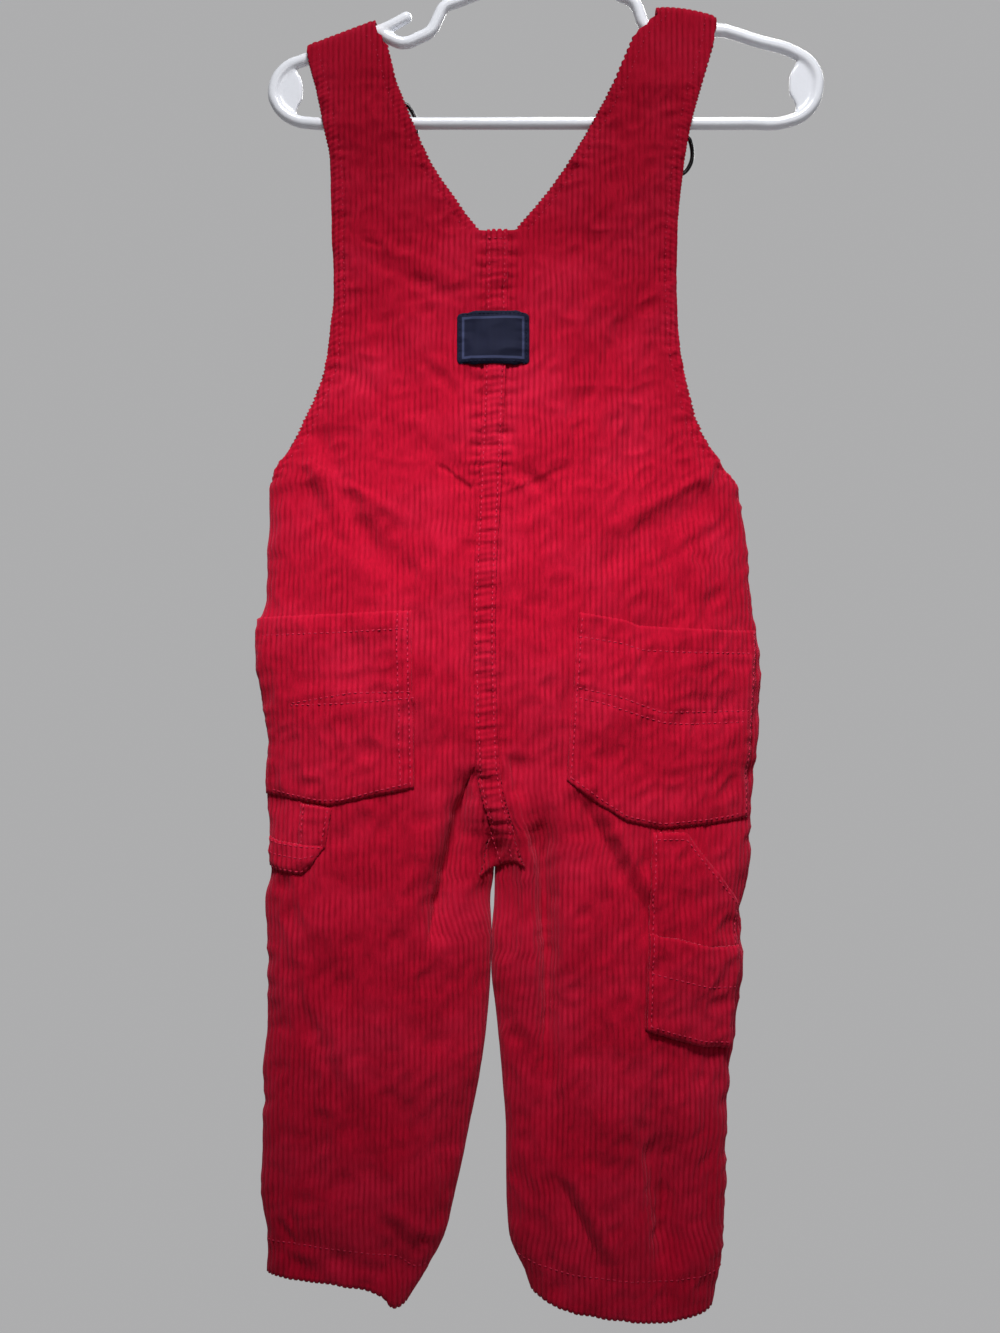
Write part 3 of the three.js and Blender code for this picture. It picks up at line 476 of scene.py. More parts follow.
class Panel:
    """A cut panel as rows of outer points from its foot up, with its wales' places."""

    def __init__(self, points, sign, straight, sewn=True):
        self.points = points
        self.sign = sign
        self.normal = normals_of(points, sign)
        if sewn:
            self.normal = square_ends(points, self.normal)
        self.s = arc_length(points, straight)
        run = np.linalg.norm(np.diff(points.mean(axis=1), axis=0), axis=-1)
        self.up = np.concatenate([[0], np.cumsum(run)])
        self.strap_start = None
        self.cut_edges = None
        self.rows_sewn = []
        self.hems = []
        self.lines_sewn = []
        self.roll = 0
        self.ladder = 0
        self.side_scallop = 1
        self.row_scallop = (0.45, 0.45)

    def area(self):
        p = self.points
        a, b = p[1:, 1:] - p[:-1, :-1], p[1:, :-1] - p[:-1, 1:]
        return np.linalg.norm(np.cross(a, b), axis=-1).sum() / 2 * MM * MM

    def loose(self, y, drop):
        """1 where the cloth may crumple, 0 where it is held over the arm."""
        if self.strap_start is None:
            return np.ones_like(y)
        row = np.arange(len(y))[:, None]
        strap = smooth((drop - 114) / 12) * (y < -3)
        return np.where(row < self.strap_start, 1, strap)

    def relief(self, s, x, drop):
        """Grooves of the sewn rows, the puckers beside them, and edges rolled under."""
        ends = (s - self.s[:, :1], self.s[:, -1:] - s)
        row = np.arange(len(s))[:, None]
        rise = np.zeros_like(s)
        for end, inset, first, last, pull in self.rows_sewn:
            away = ends[end] - inset
            here = (row >= first) & (row < (last or len(s)))
            rise += here * pull * PUCKER_RISE * pucker(drop) * near(away, PUCKER_REACH)
            rise -= here * pull * GROOVE_DEPTH * near(away, GROOVE_HALF)
            if inset > 5:
                nubs = np.sin(2 * math.pi * drop / NUB_PITCH + 0.8 * np.sin(drop / 7) + s)
                rise += here * NUB_RISE * nubs * near(ends[end] - 3, FACING_REACH)
                rise -= here * TURN_DEPTH * near(ends[end], TURN_REACH)
        for height, pull in self.hems:
            away = self.up[:, None] - height
            rise += pull * PUCKER_RISE * pucker(s + height) * near(away, 6)
            rise -= pull * GROOVE_DEPTH * near(away, 1.6)
        for line in self.lines_sewn:
            away, run = from_line(line, x, drop)
            rise += 0.22 * pucker(run) * near(away, 3.5) - 0.45 * near(away, 0.9)
        if self.ladder:
            rungs = np.sin(2 * math.pi * (drop / 3.3 + s / 21) + 1.7 * np.sin(drop / 8.3))
            rise += self.ladder * rungs * (1 - 0.75 * smooth((drop - 486) / 20))
        if self.roll:
            low, high = self.up[:, None], self.up[-1] - self.up[:, None]
            rise -= self.roll * near(np.minimum(np.minimum(*ends), low), 1.3)
            rise -= 0.3 * self.roll * near(high, 1.3)
        return rise

    def line(self, inset, first=0, last=None, end=1):
        """Path of points that keeps its distance from one end of each row."""
        path = []
        for i in range(len(self.points))[first:last]:
            s = self.s[i]
            wanted = s[-1] - inset if end > 0 else s[0] + inset
            if s[0] < wanted < s[-1]:
                place = along_row(self.s_all, self.surface[i], [wanted])[0]
                way = along_row(self.s_all, self.outward[i], [wanted])[0]
                path.append(np.concatenate([place, way]))
        return np.array(path)

    def across(self, row, margin=0.0):
        """Path of points along one row."""
        s = self.s[row]
        wanted = np.linspace(s[0] + margin, s[-1] - margin, 90)
        places = along_row(self.s_all, self.surface[row], wanted)
        return np.concatenate([places, along_row(self.s_all, self.outward[row], wanted)], axis=-1)


class Waves:
    """Smooth uneven surface made of crossing waves about one length long."""

    def __init__(self, seed, length, count=26):
        pick = np.random.default_rng(seed)
        way = pick.uniform(0, 2 * math.pi, count)
        number = 2 * math.pi / (length * pick.uniform(0.6, 1.8, count))
        self.parts = list(zip(np.cos(way) * number, np.sin(way) * number, way * 7))

    def __call__(self, x, z):
        total = sum(np.sin(a * x + b * z + c) for a, b, c in self.parts)
        return total / math.sqrt(len(self.parts) / 2)


SLACK = Waves(3, 44)
CRUSH = Waves(5, 19)
DENTS = Waves(9, 10)
WANDER = Waves(12, 24)


def crumple(x, z):
    """Small rises and dents of worn cloth, the same for all layers at one place."""
    return 0.6 * SLACK(x, z) + 0.5 * (0.8 - np.abs(CRUSH(x, z))) + 0.12 * DENTS(x, z)


def pucker(run):
    """Uneven ripples that a tight row of stitches pulls up."""
    wave = np.sin(2 * math.pi * run / 6.1 + 1.9 * np.sin(run / 13) + 0.8 * np.sin(run / 5.1))
    return (1 - 1.6 * (1 - wave) ** 2 / 4) * (0.75 + 0.25 * np.sin(run / 7.9))


def near(distance, width):
    return np.exp(-((distance / width) ** 2))


def from_line(line, x, drop):
    """Distance from a given line of (x, drop) points, and how far along it."""
    away, run, before = np.full(x.shape, 99.0), np.zeros(x.shape), 0.0
    for (x1, drop1), (x2, drop2) in zip(line, line[1:]):
        length = math.hypot(x2 - x1, drop2 - drop1)
        along = ((x - x1) * (x2 - x1) + (drop - drop1) * (drop2 - drop1)) / length
        held = np.clip(along, 0, length) / length
        gap = np.hypot(x - mix(x1, x2, held), drop - mix(drop1, drop2, held))
        nearer = gap < away
        away, run = np.where(nearer, gap, away), np.where(nearer, before + along, run)
        before += length
    return away, run


def bump_along(panel, s_used):
    """Small bumps, one to each two rows, where a side edge slants across the wales."""
    bump = np.zeros_like(s_used) + np.resize([-0.7, 0.5], len(s_used))[:, None]
    for end, column in ((0, 0), (1, -1)):
        step = np.gradient(panel.points[:, column, [0, 2]], axis=0)
        slant = np.abs(step[:, 0]) / np.maximum(np.abs(step[:, 1]), 1e-3)
        size = np.clip(3 * slant - 0.1, 0, 1)
        if panel.cut_edges is not None:
            size = size * panel.cut_edges[end]
        nearer = np.abs(s_used - panel.s[:, [column]]) < 1e-6
        bump = np.where(nearer, bump * size[:, None], bump)
    return bump


def corduroy(name, panel, wall, depth=WALE_DEPTH):
    """Shell of cloth with raised wales on its outer side, scalloped where they are cut."""
    points, normal, s_base = panel.points, panel.normal, panel.s
    first = math.floor(s_base.min() / WALE_PITCH) - 1
    last = math.ceil(s_base.max() / WALE_PITCH) + 1
    steps = np.array([0, WALE_SIDE, 1 - WALE_SIDE])
    s_all = (np.arange(first, last)[:, None] + steps[None, :]).ravel() * WALE_PITCH
    s_used = np.clip(s_all[None, :], s_base[:, :1], s_base[:, -1:])
    place, out, edge = np.zeros((3, len(points), len(s_all), 3))
    for i, s in enumerate(s_used):
        place[i] = along_row(s_base[i], points[i], s)
        out[i] = along_row(s_base[i], normal[i], s)
        for column, cut in ((0, s_all <= s_base[i, 0]), (-1, s_all >= s_base[i, -1])):
            way = points[i, column] - points[i, 1 if column == 0 else -2]
            edge[i, cut] = way / np.linalg.norm(way)
    out /= np.linalg.norm(out, axis=-1, keepdims=True)
    x, y, z = np.moveaxis(place, -1, 0)
    high = wale_height(s_used)
    loose = panel.loose(y, -z)
    calm = np.clip((s_base[:, -1:] - s_used) / 9, 0.1, 1) if panel.cut_edges else 1
    loose = loose * mix(1, calm, smooth((-z - 516) / 14))
    rise = crumple(x, z) * loose + panel.relief(s_used, x, -z) * np.maximum(loose, 0.35)
    inside = np.minimum(s_used - s_base[:, :1], s_base[:, -1:] - s_used)
    side_step = 0.16 * WANDER(x, z) * loose * np.clip(inside / 6, 0, 1)
    place[..., 0] += side_step
    panel.surface = place + out * rise[..., None]
    panel.outward, panel.s_all, panel.s_used = out, s_all, s_used
    scallop = edge * (panel.side_scallop * SCALLOP * bump_along(panel, s_used))[..., None]
    outer = panel.surface + scallop + out * (depth * (high - 0.75))[..., None]
    inner = panel.surface + scallop - out * wall
    # Cut edges along the top and bottom rows are scalloped in the same way.
    for row, next_row in ((0, 1), (-1, -2)):
        run = place[row] - place[next_row]
        run /= np.maximum(np.linalg.norm(run, axis=-1, keepdims=True), 1e-9)
        size = panel.row_scallop[row] * SCALLOP
        push = run * size * (wale_height(s_used[row])[:, None] - 0.5)
        outer[row] += push
        inner[row] += push
    rows, columns = outer.shape[:2]
    count = rows * columns
    index = np.arange(count).reshape(rows, columns)
    low = np.minimum(s_base[:-1, :1], s_base[1:, :1])
    high = np.maximum(s_base[:-1, -1:], s_base[1:, -1:])
    keep = (s_all[None, 1:] > low) & (s_all[None, :-1] < high)
    a, b = index[:-1, :-1][keep], index[:-1, 1:][keep]
    c, d = index[1:, 1:][keep], index[1:, :-1][keep]
    faces = [np.stack([a, b, c, d], 1), np.stack([a, d, c, b], 1) + count]
    rims = [(index[1:, 0], index[:-1, 0]), (index[:-1, -1], index[1:, -1])]
    for row, turned in ((0, False), (-1, True)):
        live = np.diff(s_used[row]) > 1e-9
        p, q = index[row, :-1][live], index[row, 1:][live]
        rims.append((q, p) if turned else (p, q))
    faces += [np.stack([q, p, p + count, q + count], 1) for p, q in rims]
    faces = np.concatenate(faces)
    if panel.sign < 0:
        faces = faces[:, ::-1]
    down = panel.up[:, None] + 0 * s_used
    grain = np.stack([s_used / WALE_PITCH, down, 1 + 0 * s_used], axis=-1).reshape(-1, 3)
    grain = np.concatenate([grain, grain * (1, 1, 0)])
    places = np.concatenate([outer.reshape(-1, 3), inner.reshape(-1, 3)])
    return cloth_object(name, places, faces, grain)


def cloth_object(name, places, faces, grain):
    used, faces = np.unique(faces, return_inverse=True)
    mesh = bpy.data.meshes.new(name)
    mesh.from_pydata((places[used] * MM).tolist(), [], faces.reshape(-1, 4).tolist())
    held = mesh.attributes.new("grain", "FLOAT_VECTOR", "POINT")
    held.data.foreach_set("vector", grain[used].astype(np.float32).ravel())
    piece = bpy.data.objects.new(name, mesh)
    bpy.context.collection.objects.link(piece)
    work = bmesh.new()
    work.from_mesh(mesh)
    bmesh.ops.remove_doubles(work, verts=work.verts, dist=3e-6)
    work.to_mesh(mesh)
    work.free()
    mesh.validate()
    mesh.shade_smooth()
    return piece


# Body, legs and straps


def back_panel(side):
    level = LEVEL[side]
    low = np.concatenate([[0, 2], np.arange(4, level - 337, 2.4)])
    high = np.linspace(low[-1] + 2, level - PANEL_TOP_DROP, 138)
    legs = leg_rows(side, -1, np.concatenate([low, high]), FINE_BACK)
    panel = Panel(np.concatenate([legs, strap_rows(side)]), -side, STRAIGHT_WALE[side])
    drops = -panel.points[:, 48, 2]
    panel.strap_start = len(legs)
    panel.armhole_start = int(np.argmax(drops < SIDE_TOP_DROP))
    crotch = int(np.argmax(drops < CROTCH_DROP))
    row = np.arange(len(drops))
    panel.cut_edges = (row >= panel.armhole_start, row >= panel.strap_start)
    panel.rows_sewn = [
        (1, EDGE_ROW, panel.strap_start, None, 0.7),
        (0, EDGE_ROW, panel.armhole_start, None, 0.7),
        (1, FELL_WIDTH / 2 + 0.8, crotch, panel.strap_start, 1.5),
    ]
    panel.hems = [(HEM_ROW, 0.5)]
    return panel


def front_panel(side):
    top = LEVEL[side] - SIDE_TOP_DROP - SEAM_GAP - 0.01
    heights = np.concatenate([[0, 2, 5], np.arange(9, top - 3, 6), [top]])
    panel = Panel(leg_rows(side, 1, heights, FINE_FRONT), side, STRAIGHT_WALE[side])
    panel.normal[-1, :, 2] = 0
    panel.cut_edges = (0, 0)
    panel.hems = [(HEM_ROW, 0.5)]
    return panel


def buckle_place(over):
    """Middle of a buckle's bar, with its directions across and down."""
    outer_x, outer_drop, inner_x, inner_drop, _ = over["low"]
    across = np.array([inner_x - outer_x, 0, outer_drop - inner_drop])
    across /= np.linalg.norm(across) * np.sign(across[0])
    down = np.array([across[2], 0, -across[0]])
    y = OVER_RADIUS + 0.6 + WIRE_RADIUS
    middle = np.array([(outer_x + inner_x) / 2, y, -(outer_drop + inner_drop) / 2])
    return middle, across, down


def button_place(over):
    middle, _, down = buckle_place(over)
    return middle + BUTTON_DOWN * down


BIB_TOP = {"left": 154.3, "right": 165.8, "sag": 33.5}
BIB = Table(
    "drop left right edge mid",
    (150, -101, 66, 5.5, 33),
    (190, -102, 66, 5.5, 33),
    (230, -103.6, 66.4, 6, 28),
    (262, -107, 68, 7, 24),
    (285, -113, 71, 8, 21),
    (304, -122, 77, 8, 19.4),
    (318, -132, 87, 6, 18.8),
    (329, -142, 98, 4, 18.5),
)


def bib_panel():
    """Front bib: worn shape at the waist, hung from its two buttons above."""
    s = np.linspace(-1, 1, 129)[None, :]
    v = np.linspace(0, 1, 76)[:, None]
    left, right = (button_place(OVER[side])[0] for side in (-1, 1))
    half = (right - left) / 2
    u = 1 - np.abs(s)
    flat = smooth(v * 2.6)
    share = mix(from_edge(u), u, flat)
    top_x = mix(np.where(s < 0, -101, 66), -17.4, u)
    inward = 1 - np.abs(top_x - (left + right) / 2) / half
    between = np.clip(1.18 * inward - 0.16, 0, 1)
    hollow = 1 - (1 - between) ** 2
    top_drop = mix(BIB_TOP["left"], BIB_TOP["right"], (top_x - left) / (2 * half))
    drop = mix(SIDE_TOP_DROP, top_drop + BIB_TOP["sag"] * hollow, v)
    seam = BODY.at("innerL", np.maximum(drop, 201))
    hung_edge = np.where(s < 0, BIB.at("left", drop), BIB.at("right", drop))
    worn_edge = np.where(s < 0, BODY.at("left", drop) + 1, BODY.at("right", drop) - 1)
    x = mix(mix(hung_edge, worn_edge, 1 - smooth(v * 6)), seam, share)
    depth, edge = BIB.at("mid", drop), BIB.at("edge", drop)
    lift = fold_lift(BIB_FOLDS, x, drop) * smooth(share * 4) * smooth(v * 5)
    worn = 0.15 + depth * arch(1 - share)
    hung = edge + (depth - edge) * mix(1 - (1 - share) ** 2, hollow**1.5, smooth(v / 0.8))
    points = np.stack([x, mix(worn, hung, flat) + lift, -drop], axis=-1)
    panel = Panel(points, -1, -17.4, sewn=False)
    low = np.abs(points[..., 1]) < 0.4
    low[:, 1:-1] = False
    panel.normal[low, 1] = 0
    panel.normal[0, :, 2] = 0
    panel.rows_sewn = [(end, EDGE_ROW, 4, None, 0.5) for end in (0, 1)]
    panel.hems = [(panel.up[-1] - 9, 0.5), (5, 0.4)]
    return panel


# Pieces laid on the back


def back_surface(x, drop):
    """Points on the back's outer surface."""
    x, drop = np.broadcast_arrays(np.asarray(x, float), np.asarray(drop, float))
    flat_x, flat_drop, y = x.ravel(), drop.ravel(), np.zeros(x.size)
    seam = (BODY.at("innerL", flat_drop) + BODY.at("innerR", flat_drop)) / 2
    for side in (-1, 1):
        mine = np.flatnonzero((flat_x - seam) * side >= 0)
        rows = body_points(side, -1, BASE_COLUMNS[None, :], flat_drop[mine][:, None], FINE_BACK)
        for k, row in zip(mine, rows):
            y[k] = np.interp(-side * flat_x[k], -side * row[:, 0], row[:, 1])
    return np.stack([x, y.reshape(x.shape), -drop], axis=-1)


def bridged(x, drop):
    """Points over the back, across the narrow hollows that a laid piece doesn't sink into."""
    base = back_surface(x, drop)
    level = (back_surface(x - 5, drop) + back_surface(x + 5, drop))[..., 1] / 2
    upright = (back_surface(x, drop - 6) + back_surface(x, drop + 6))[..., 1] / 2
    base[..., 1] = np.minimum(base[..., 1], np.minimum(level, upright))
    return base


def laid(strips, rows, height, straight, corner=0):
    """Patch laid on the back: each strip is (top x, top drop, low x, low drop)."""
    strips = np.array(strips, float)
    place = np.linspace(0, len(strips) - 1, 12 * (len(strips) - 1) + 1)
    top_x, top_drop, low_x, low_drop = (
        np.interp(place, np.arange(len(strips)), strips[:, k]) for k in range(4)
    )
    t = np.linspace(1, 0, rows)[:, None]
    x, drop = mix(top_x, low_x, t), mix(top_drop, low_drop, t)
    widest = np.minimum(BODY.at("left", drop[:, :1]), BODY.at("left", drop[:, :1] + 10))
    low = np.maximum(x[:, :1], widest + 0.9)
    high = np.minimum(x[:, -1:], BODY.at("right", drop[:, -1:]) - 0.9)
    if corner:
        reach = np.minimum(drop - drop.min(), drop.max() - drop)[:, :1]
        cut = corner - np.sqrt(corner**2 - np.maximum(corner - reach, 0) ** 2)
        low, high = low + cut, high - cut
    x = low + (x - x[:, :1]) * (high - low) / (x[:, -1:] - x[:, :1])
    base = bridged(x, drop)
    proud = height(x, drop) if callable(height) else height
    points = base + normals_of(base, 1) * np.broadcast_to(proud, x.shape)[..., None]
    panel = Panel(points, 1, straight, sewn=False)
    panel.rows_sewn = [(end, 1.9, 0, None, 0.5) for end in (0, 1)]
    panel.roll = 1.3
    panel.side_scallop = 0.5
    panel.row_scallop = (0.25, 0.25)
    return panel


def on_back(points, height):
    """Path over the back through given (x, drop) points."""
    points = np.array(points, float)
    run = np.concatenate([[0], np.cumsum(np.hypot(*np.diff(points, axis=0).T))])
    at = np.linspace(0, run[-1], max(3, int(run[-1] / 1.5)))
    x, drop = np.interp(at, run, points[:, 0]), np.interp(at, run, points[:, 1])
    base = bridged(x, drop)
    base[..., 1] -= height + crumple(x, -drop) - 0.2
    out = np.tile([0.0, -1.0, 0.0], (len(at), 1))
    return np.concatenate([base, out], axis=-1)


POCKET_LEFT = (
    (-149.2, 400, -144.2, 489.6),
    (-142, 399.4, -136, 490.7),
    (-116, 398, -110.4, 494.7),
    (-90, 397, -84, 489),
    (-68.7, 396.1, -67.2, 485.7),
)
POCKET_RIGHT = (
    (15.8, 397.1, 9.8, 481.6),
    (38.5, 400.7, 26, 494),
    (46, 403.6, 40, 502.4),
    (68, 405, 58, 506.4),
    (92, 406, 83.2, 504.4),
    (107.6, 406, 102.8, 501.4),
)
TOOL_POCKET = (
    (53.4, 508.4, 49.6, 608.4),
    (70.2, 508.4, 66, 614),
    (84, 526, 79, 618),
    (98.8, 545.4, 93.8, 619.6),
)
TOOL_PATCH = (
    (51.8, 559.6, 50.2, 607.8),
    (66, 561.8, 66, 613.2),
    (82, 566.2, 80, 617.4),
    (97, 566.6, 93, 618.8),
)
LOOP_DROP = ((-125.2, 494.2, -126.2, 518), (-108.8, 496.2, -112.6, 516.4))
LOOP_BAND = (
    (-142.6, 511.4, -142.8, 526.6),
    (-136, 513.4, -138, 528.2),
    (-124, 514.8, -124.5, 529.9),
    (-112.6, 515.4, -119.4, 524.6),
)
LABEL = {"x": -27.4, "drop": 257, "width": 37, "height": 27}
ON_CLOTH = LAID_GAP + POCKET_WALL
ON_POCKET = 2.4 * LAID_GAP + 2 * POCKET_WALL


def seam_at(drop):
    return (BODY.at("innerL", drop) + BODY.at("innerR", drop)) / 2


def band_centre(drop):
    return seam_at(drop) + 4.4 * smooth((drop - 478) / 42)


CROTCH_EDGE = ((-34, 532), (-28.5, 528.6), (-24, 526), (-19, 524), (-15, 524), (-11.6, 526))


def fell_panel():
    """Band of the felled seam, from the neck to the crotch, flared over the leg gap."""
    drop = np.linspace(510, 201.3, 290)[:, None]
    s = np.linspace(-1, 1, 25)[None, :]
    x = band_centre(drop) + s * FELL_WIDTH / 2
    drop = drop + 0 * s
    edge = np.array(CROTCH_EDGE)
    place = np.linspace(0, 5, 25)
    foot_x, foot_drop = (np.interp(place, np.arange(6), edge[:, k]) for k in (0, 1))
    share = np.linspace(1, 0, 14)[:-1, None]
    x = np.concatenate([mix(x[:1], foot_x, share**1.7), x])
    drop = np.concatenate([mix(drop[:1], foot_drop, share), drop])
    seam, half = band_centre(drop), FELL_WIDTH / 2
    left, right = back_surface(seam - half, drop), back_surface(seam + half, drop)
    chord = mix(left[..., 1], right[..., 1], np.clip((x - seam) / half / 2 + 0.5, 0, 1))
    y = np.minimum(back_surface(x, drop)[..., 1], chord)
    y -= LAID_GAP + 0.4 * smooth((drop - 465) / 20) + BAND_WALL
    panel = Panel(np.stack([x, y, -drop], axis=-1), 1, -31, sewn=False)
    panel.rows_sewn = [(end, FELL_ROW, 13, None, 1.0) for end in (0, 1)]
    panel.roll = 0.5
    panel.ladder = 0.3
    panel.row_scallop = (0.5, 1)
    return panel


def label_panel():
    width, height = LABEL["width"], LABEL["height"]
    x = LABEL["x"] + width * np.linspace(-0.5, 0.5, 5)
    top, low = LABEL["drop"] - height / 2, LABEL["drop"] + height / 2
    over = LAID_GAP + BAND_WALL

    def clear(x, drop):
        away = np.abs(x - seam_at(drop)) - FELL_WIDTH / 2 - 4
        return LAID_GAP + over * (1 - smooth(away / 7)) + BAND_WALL

    panel = laid([(a, top, a, low) for a in x], 46, clear, LABEL["x"], 3)
    panel.side_scallop = 0
    panel.row_scallop = (0, 0)
    return panel


# Sewing


def stitches(name, paths, long=1.9, gap=1.1, thick=0.3, proud=0.15):
    """Rows of thread along paths, each stitch a small rounded bar."""
    starts, ends, outs = [], [], []
    for path in paths:
        if len(path) < 2:
            continue
        run = np.linalg.norm(np.diff(path[:, :3], axis=0), axis=-1)
        run = np.concatenate([[0], np.cumsum(run)])
        at = np.arange(0.5, run[-1] - long, long + gap)
        for shift, into in ((0, starts), (long, ends)):
            into.append(np.stack([np.interp(at + shift, run, path[:, k]) for k in range(3)], -1))
        outs.append(np.stack([np.interp(at, run, path[:, k]) for k in range(3, 6)], -1))
    start, end, out = (np.concatenate(part) for part in (starts, ends, outs))
    out /= np.linalg.norm(out, axis=-1, keepdims=True)
    way = end - start
    length = np.linalg.norm(way, axis=-1, keepdims=True)
    way /= length
    aside = np.cross(way, out)
    sides = 6
    turn = np.arange(sides) * 2 * math.pi / sides
    rings = []
    for share, size, sink in ((0, 0.45, 0.35), (0.25, 1, 0), (0.75, 1, 0), (1, 0.45, 0.35)):
        middle = start + way * length * share + out * (proud - sink)
        round_ = (
            np.cos(turn)[None, :, None] * out[:, None] * 0.8
            + np.sin(turn)[None, :, None] * aside[:, None]
        )
        rings.append(middle[:, None] + round_ * thick * size)
    points = np.stack(rings, axis=1).reshape(-1, 3)
    base = []
    for r in range(3):
        for k in range(sides):
            n = (k + 1) % sides
            base.append((r * sides + k, r * sides + n, (r + 1) * sides + n, (r + 1) * sides + k))
    caps = [(2, 1, 0, 5), (5, 4, 3, 2), (18, 19, 20, 23), (20, 21, 22, 23)]
    base = np.array(base + caps)
    faces = (base[None] + np.arange(len(start))[:, None, None] * 4 * sides).reshape(-1, 4)
    grain = np.zeros((len(points), 3))
    grain[:, 1] = np.linalg.norm(points, axis=1)
    grain[:, 2] = 1
    return cloth_object(name, points, faces, grain)


# Finishes


class Wire:
    """A node socket that takes part in Python sums."""

    def __init__(self, made, socket):
        self.made = made
        self.socket = socket

    def calculate(self, kind, *values):
        return self.made.node("ShaderNodeMath", {"operation": kind}, *values)

    def __add__(self, other):
        return self.calculate("ADD", self, other)

    def __sub__(self, other):
        return self.calculate("SUBTRACT", self, other)

    def __mul__(self, other):
        return self.calculate("MULTIPLY", self, other)

    def __truediv__(self, other):
        return self.calculate("DIVIDE", self, other)

    def __radd__(self, other):
        return self.calculate("ADD", other, self)

    def __rsub__(self, other):
        return self.calculate("SUBTRACT", other, self)

    def __rmul__(self, other):
        return self.calculate("MULTIPLY", other, self)

    def __pow__(self, other):
        return self.calculate("POWER", self, other)

    def cosine(self):
        return self.calculate("COSINE", self)

    def floor(self):
        return self.calculate("FLOOR", self)

    def absolute(self):
        return self.calculate("ABSOLUTE", self)

    def lesser(self, other):
        return self.calculate("MINIMUM", self, other)

    def below(self, limit):
        return self.calculate("LESS_THAN", self, limit)

    def part(self, index):
        """Another output of the same node."""
        return Wire(self.made, self.socket.node.outputs[index])

    def clamped(self):
        return self.made.node("ShaderNodeClamp", {}, self)


class Finish:
    """A material made of nodes, with one Principled shader."""

    def __init__(self, name, **constants):
        self.material = bpy.data.materials.new(name)
        self.material.use_nodes = True
        self.tree = self.material.node_tree
        self.shader = self.tree.nodes["Principled BSDF"]
        for socket, value in constants.items():
            self.shader.inputs[socket.replace("_", " ")].default_value = value

    def node(self, kind, settings, *values, out=0, **named):
        node = self.tree.nodes.new(kind)
        for key, value in settings.items():
            setattr(node, key, value)
        for key, value in [*enumerate(values), *named.items()]:
            socket = node.inputs[key if isinstance(key, int) else key.replace("_", " ")]
            self.feed(socket, value)
        return Wire(self, node.outputs[out])

    def feed(self, socket, value):
        if isinstance(value, Wire):
            self.tree.links.new(value.socket, socket)
        elif value is not None:
            socket.default_value = value

    def set(self, **links):
        for socket, value in links.items():
            self.feed(self.shader.inputs[socket.replace("_", " ")], value)

    def place(self):
        return self.node("ShaderNodeTexCoord", {}, out="Object")

    def stretched(self, vector, scale):
        return self.node("ShaderNodeVectorMath", {"operation": "MULTIPLY"}, vector, scale)

    def noise(self, vector, scale, detail=2.0, rough=0.5):
        values = {"Scale": scale, "Detail": detail, "Roughness": rough}
        return self.node("ShaderNodeTexNoise", {}, Vector=vector, **values)

    def blend(self, factor, a, b):
        mixer = self.tree.nodes.new("ShaderNodeMix")
        mixer.data_type = "RGBA"
        self.feed(mixer.inputs[0], factor)
        self.feed(mixer.inputs[6], a)
        self.feed(mixer.inputs[7], b)
        return Wire(self, mixer.outputs[2])

    def bump(self, height, distance, strength=1.0):
        values = {"Height": height, "Distance": distance, "Strength": strength}
        return self.node("ShaderNodeBump", {}, **values)


def corduroy_finish(name, crest, painted_valley_shade, painted_highlight, back):
    """Cut-pile corduroy: soft rounded crests, painted shade in the thin valleys between them,
    painted highlights in patches on the crests, crushed and brushed pile.
    """
    made = Finish(
        name,
        Sheen_Weight=0.3,
        Sheen_Roughness=0.45,
        Sheen_Tint=(1.0, 0.16, 0.26, 1),
        Specular_IOR_Level=0.07,
    )
    grain = made.node("ShaderNodeAttribute", {"attribute_name": "grain"}, out="Vector")
    count = made.node("ShaderNodeSeparateXYZ", {}, grain)
    along, skin = count.part(1), count.part(2)
    wale = 0.5 - 0.5 * (count * (2 * math.pi)).cosine()
    place = made.place()
    patches = made.noise(place, 30, 3.0)
    pressed = made.noise(made.stretched(place, (95, 95, 60)), 1, 4.0, 0.65)
    brushed = made.noise(made.stretched(place, (900, 900, 210)), 1, 2.0)
    fibre = made.noise(place, 3600, 2.0, 0.7)
    number = count.floor()
    strand = made.node("ShaderNodeCombineXYZ", {}, number, along * 0.045)
    streak = made.noise(strand, 1.7)
    crushed = ((pressed - 0.42) * 5).clamped()
    cord = wale ** 0.55
    relief = cord + (0.72 - cord) * (0.9 * crushed)
    # Painted shade: the valleys between the wales are coloured darker than the crests; the
    # brushed and fibre noise mixed in is the pile's real tone.
    nap_and_painted_valley_shade = (relief + (brushed - 0.5) * 1.1 + (fibre - 0.5) * 0.4).clamped()
    pile_with_painted_valley_shade = made.blend(nap_and_painted_valley_shade, painted_valley_shade, crest)
    # Painted highlights: lighter patches on the crests stand in for light catching the pile, and
    # worn holds the colour with these painted highlights, not wear.
    lit = (((patches - 0.42) * 2.2).clamped() * (wale * 0.3 + 0.15)).clamped()
    worn = made.blend(lit, pile_with_painted_valley_shade, painted_highlight)
    shade = made.blend(((streak - 0.38) * 1.6).clamped() * 0.28, worn, painted_valley_shade)
    made.set(
        Base_Color=made.blend(skin.clamped(), back, shade),
        Roughness=0.84 + 0.12 * fibre,
        Normal=made.bump(wale * 0.12 + brushed * 0.7 + fibre * 0.4, 0.0005, 0.75),
    )
    return made.material


def thread_finish():
    """Twisted sewing thread, dyed like the cloth."""
    made = Finish("red_thread", Specular_IOR_Level=0.12)
    twist = made.node("ShaderNodeTexWave", {"bands_direction": "DIAGONAL"}, made.place(), 2600)
    made.set(
        Base_Color=made.blend(twist, (0.28, 0.004, 0.02, 1), (0.55, 0.024, 0.07, 1)),
        Roughness=0.55 + 0.2 * twist,
        Normal=made.bump(twist, 0.0001, 0.5),
    )
    return made.material


